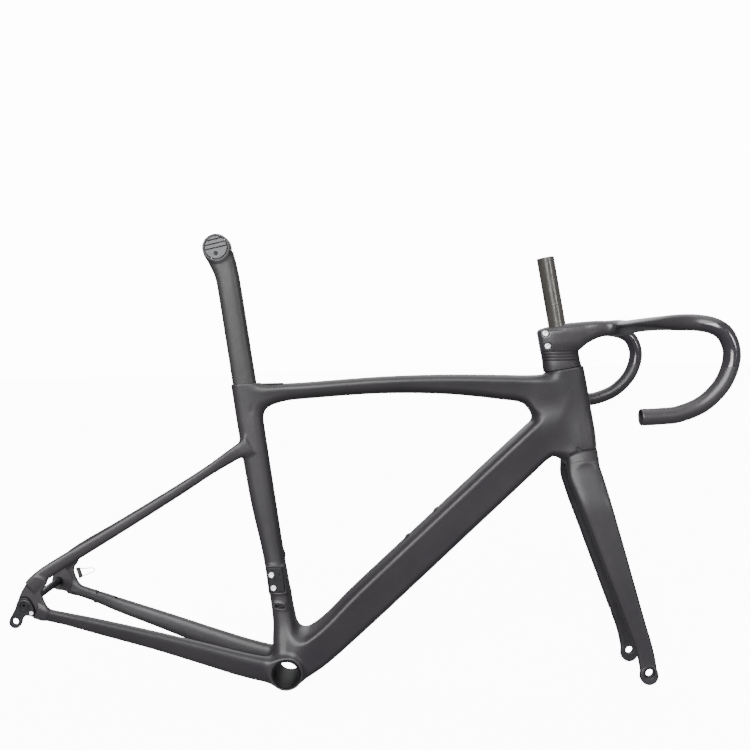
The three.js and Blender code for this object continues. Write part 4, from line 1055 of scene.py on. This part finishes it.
# ------------------------------------------------------------------ the saddle clamp in the post's head
GROOVE_TILT = math.radians(12)
CLAMP_DROP = 9.5
GROOVES, GROOVE_HALF = (-2, 5, 12), 2.0  # heights over the clamp's centre
ACROSS = np.array((math.cos(GROOVE_TILT), math.sin(GROOVE_TILT)))
UPWARD = np.array((-ACROSS[1], ACROSS[0]))
for name, side in (("right", -1), ("left", 1)):
    face = HEAD_WIDTH / 2 + 2
    cheek = Field((-120.5, min(side * 7, side * 15), 676), (-80, max(side * 7, side * 15), 716.5), 0.35)
    cheek.join(cross_rod(BARREL, *POST_HEAD, side * 8.3, side * face, 0.7))
    for lift in GROOVES:
        corners = [np.array(POST_HEAD) + sx * 30 * ACROSS + (lift + sz * GROOVE_HALF) * UPWARD
                   for sx, sz in ((-1, -1), (1, -1), (1, 1), (-1, 1))]
        cheek.cut(plate(corners, side * (face - 3), side * 30), 0.5)
    cheek.cut(cross_rod(6.6, POST_HEAD[0], POST_HEAD[1] - CLAMP_DROP, -60, 60), 0.4)
    skin(cheek, f"clamp_cheek_shell_{name}", "saddle_clamp", GREY, [f"clamp_cheek_{name}"])
screw("clamp_screw", (POST_HEAD[0], -13.5, POST_HEAD[1] - CLAMP_DROP), (0, -1, 0), 6, 3, 3, 5.9, 27,
      "saddle_clamp", BLACK, ["saddle_clamp_bolt"])

# ------------------------------------------------------------------ the CAD nodes that stay
for node, paint in {
    "seatpost_wedge": BLACK, "seatpost_wedge_bolt": STEEL_PAINTED_REFLECTION, "lower_bearing": GREY, "upper_bearing": GREY,
    "crown_race": BLACK, "compression_ring": BLACK, "clamp_barrel": GREY,
}.items():
    NODES[node].data.materials.clear()
    NODES[node].data.materials.append(paint)

# ------------------------------------------------------------------ floor and light
def stage_piece(name, mesh, material):
    made = bpy.data.objects.new(name, mesh)
    bpy.context.scene.collection.objects.link(made)
    mesh.materials.append(material)
    return made


floor_mesh = bpy.data.meshes.new("floor")
floor_mesh.from_pydata([(-30, -30, 0), (30, -30, 0), (30, 30, 0), (-30, 30, 0)], [], [(0, 1, 2, 3)])
FLOOR = surface("pale_floor", (0.88, 0.88, 0.88), 0.9, mottle=0.005, scale=2, grain=(200, 0), wave=(20, 0))
for socket, value in (
    ("Specular IOR Level", 0.1), ("Emission Color", (1, 1, 1, 1)), ("Emission Strength", 11.0),
):
    FLOOR.node_tree.nodes["Principled BSDF"].inputs[socket].default_value = value
floor = stage_piece("floor", floor_mesh, FLOOR)
floor.visible_diffuse = floor.visible_glossy = False  # its own light would wash out the undersides

# A pale dome stands behind everything, so that the background is as light from every side.
dome_mesh = bpy.data.meshes.new("dome")
shell = bmesh.new()
bmesh.ops.create_uvsphere(shell, u_segments=48, v_segments=24, radius=28)
shell.to_mesh(dome_mesh)
shell.free()
dome_paint = bpy.data.materials.new("pale_dome")
dome_paint.use_nodes = True
glow = dome_paint.node_tree.nodes.new("ShaderNodeEmission")
glow.inputs["Color"].default_value = (1, 1, 1, 1)
glow.inputs["Strength"].default_value = 14.0
dome_paint.node_tree.links.new(
    glow.outputs["Emission"], dome_paint.node_tree.nodes["Material Output"].inputs["Surface"]
)
dome = stage_piece("dome", dome_mesh, dome_paint)
dome.visible_diffuse = dome.visible_glossy = dome.visible_shadow = False


def sun(name, toward_light, strength, angle):
    light = bpy.data.lights.new(name, "SUN")
    light.energy, light.angle = strength, math.radians(angle)
    made = bpy.data.objects.new(name, light)
    made.rotation_euler = Vector(toward_light).to_track_quat("Z", "Y").to_euler()
    bpy.context.scene.collection.objects.link(made)


sun("key", (-0.30, -1.0, 0.45), 6.6, 45)
sun("front", (0.75, -1.0, 0.25), 0.9, 14)
sun("top", (0.1, -0.1, 1.0), 1.5, 60)
sun("back", (0.1, 1.0, 1.0), 2.2, 70)
world = bpy.data.worlds.new("studio")
bpy.context.scene.world = world
world.use_nodes = True
world.node_tree.nodes["Background"].inputs["Color"].default_value = (0.94, 0.95, 1.0, 1)
world.node_tree.nodes["Background"].inputs["Strength"].default_value = 0.3
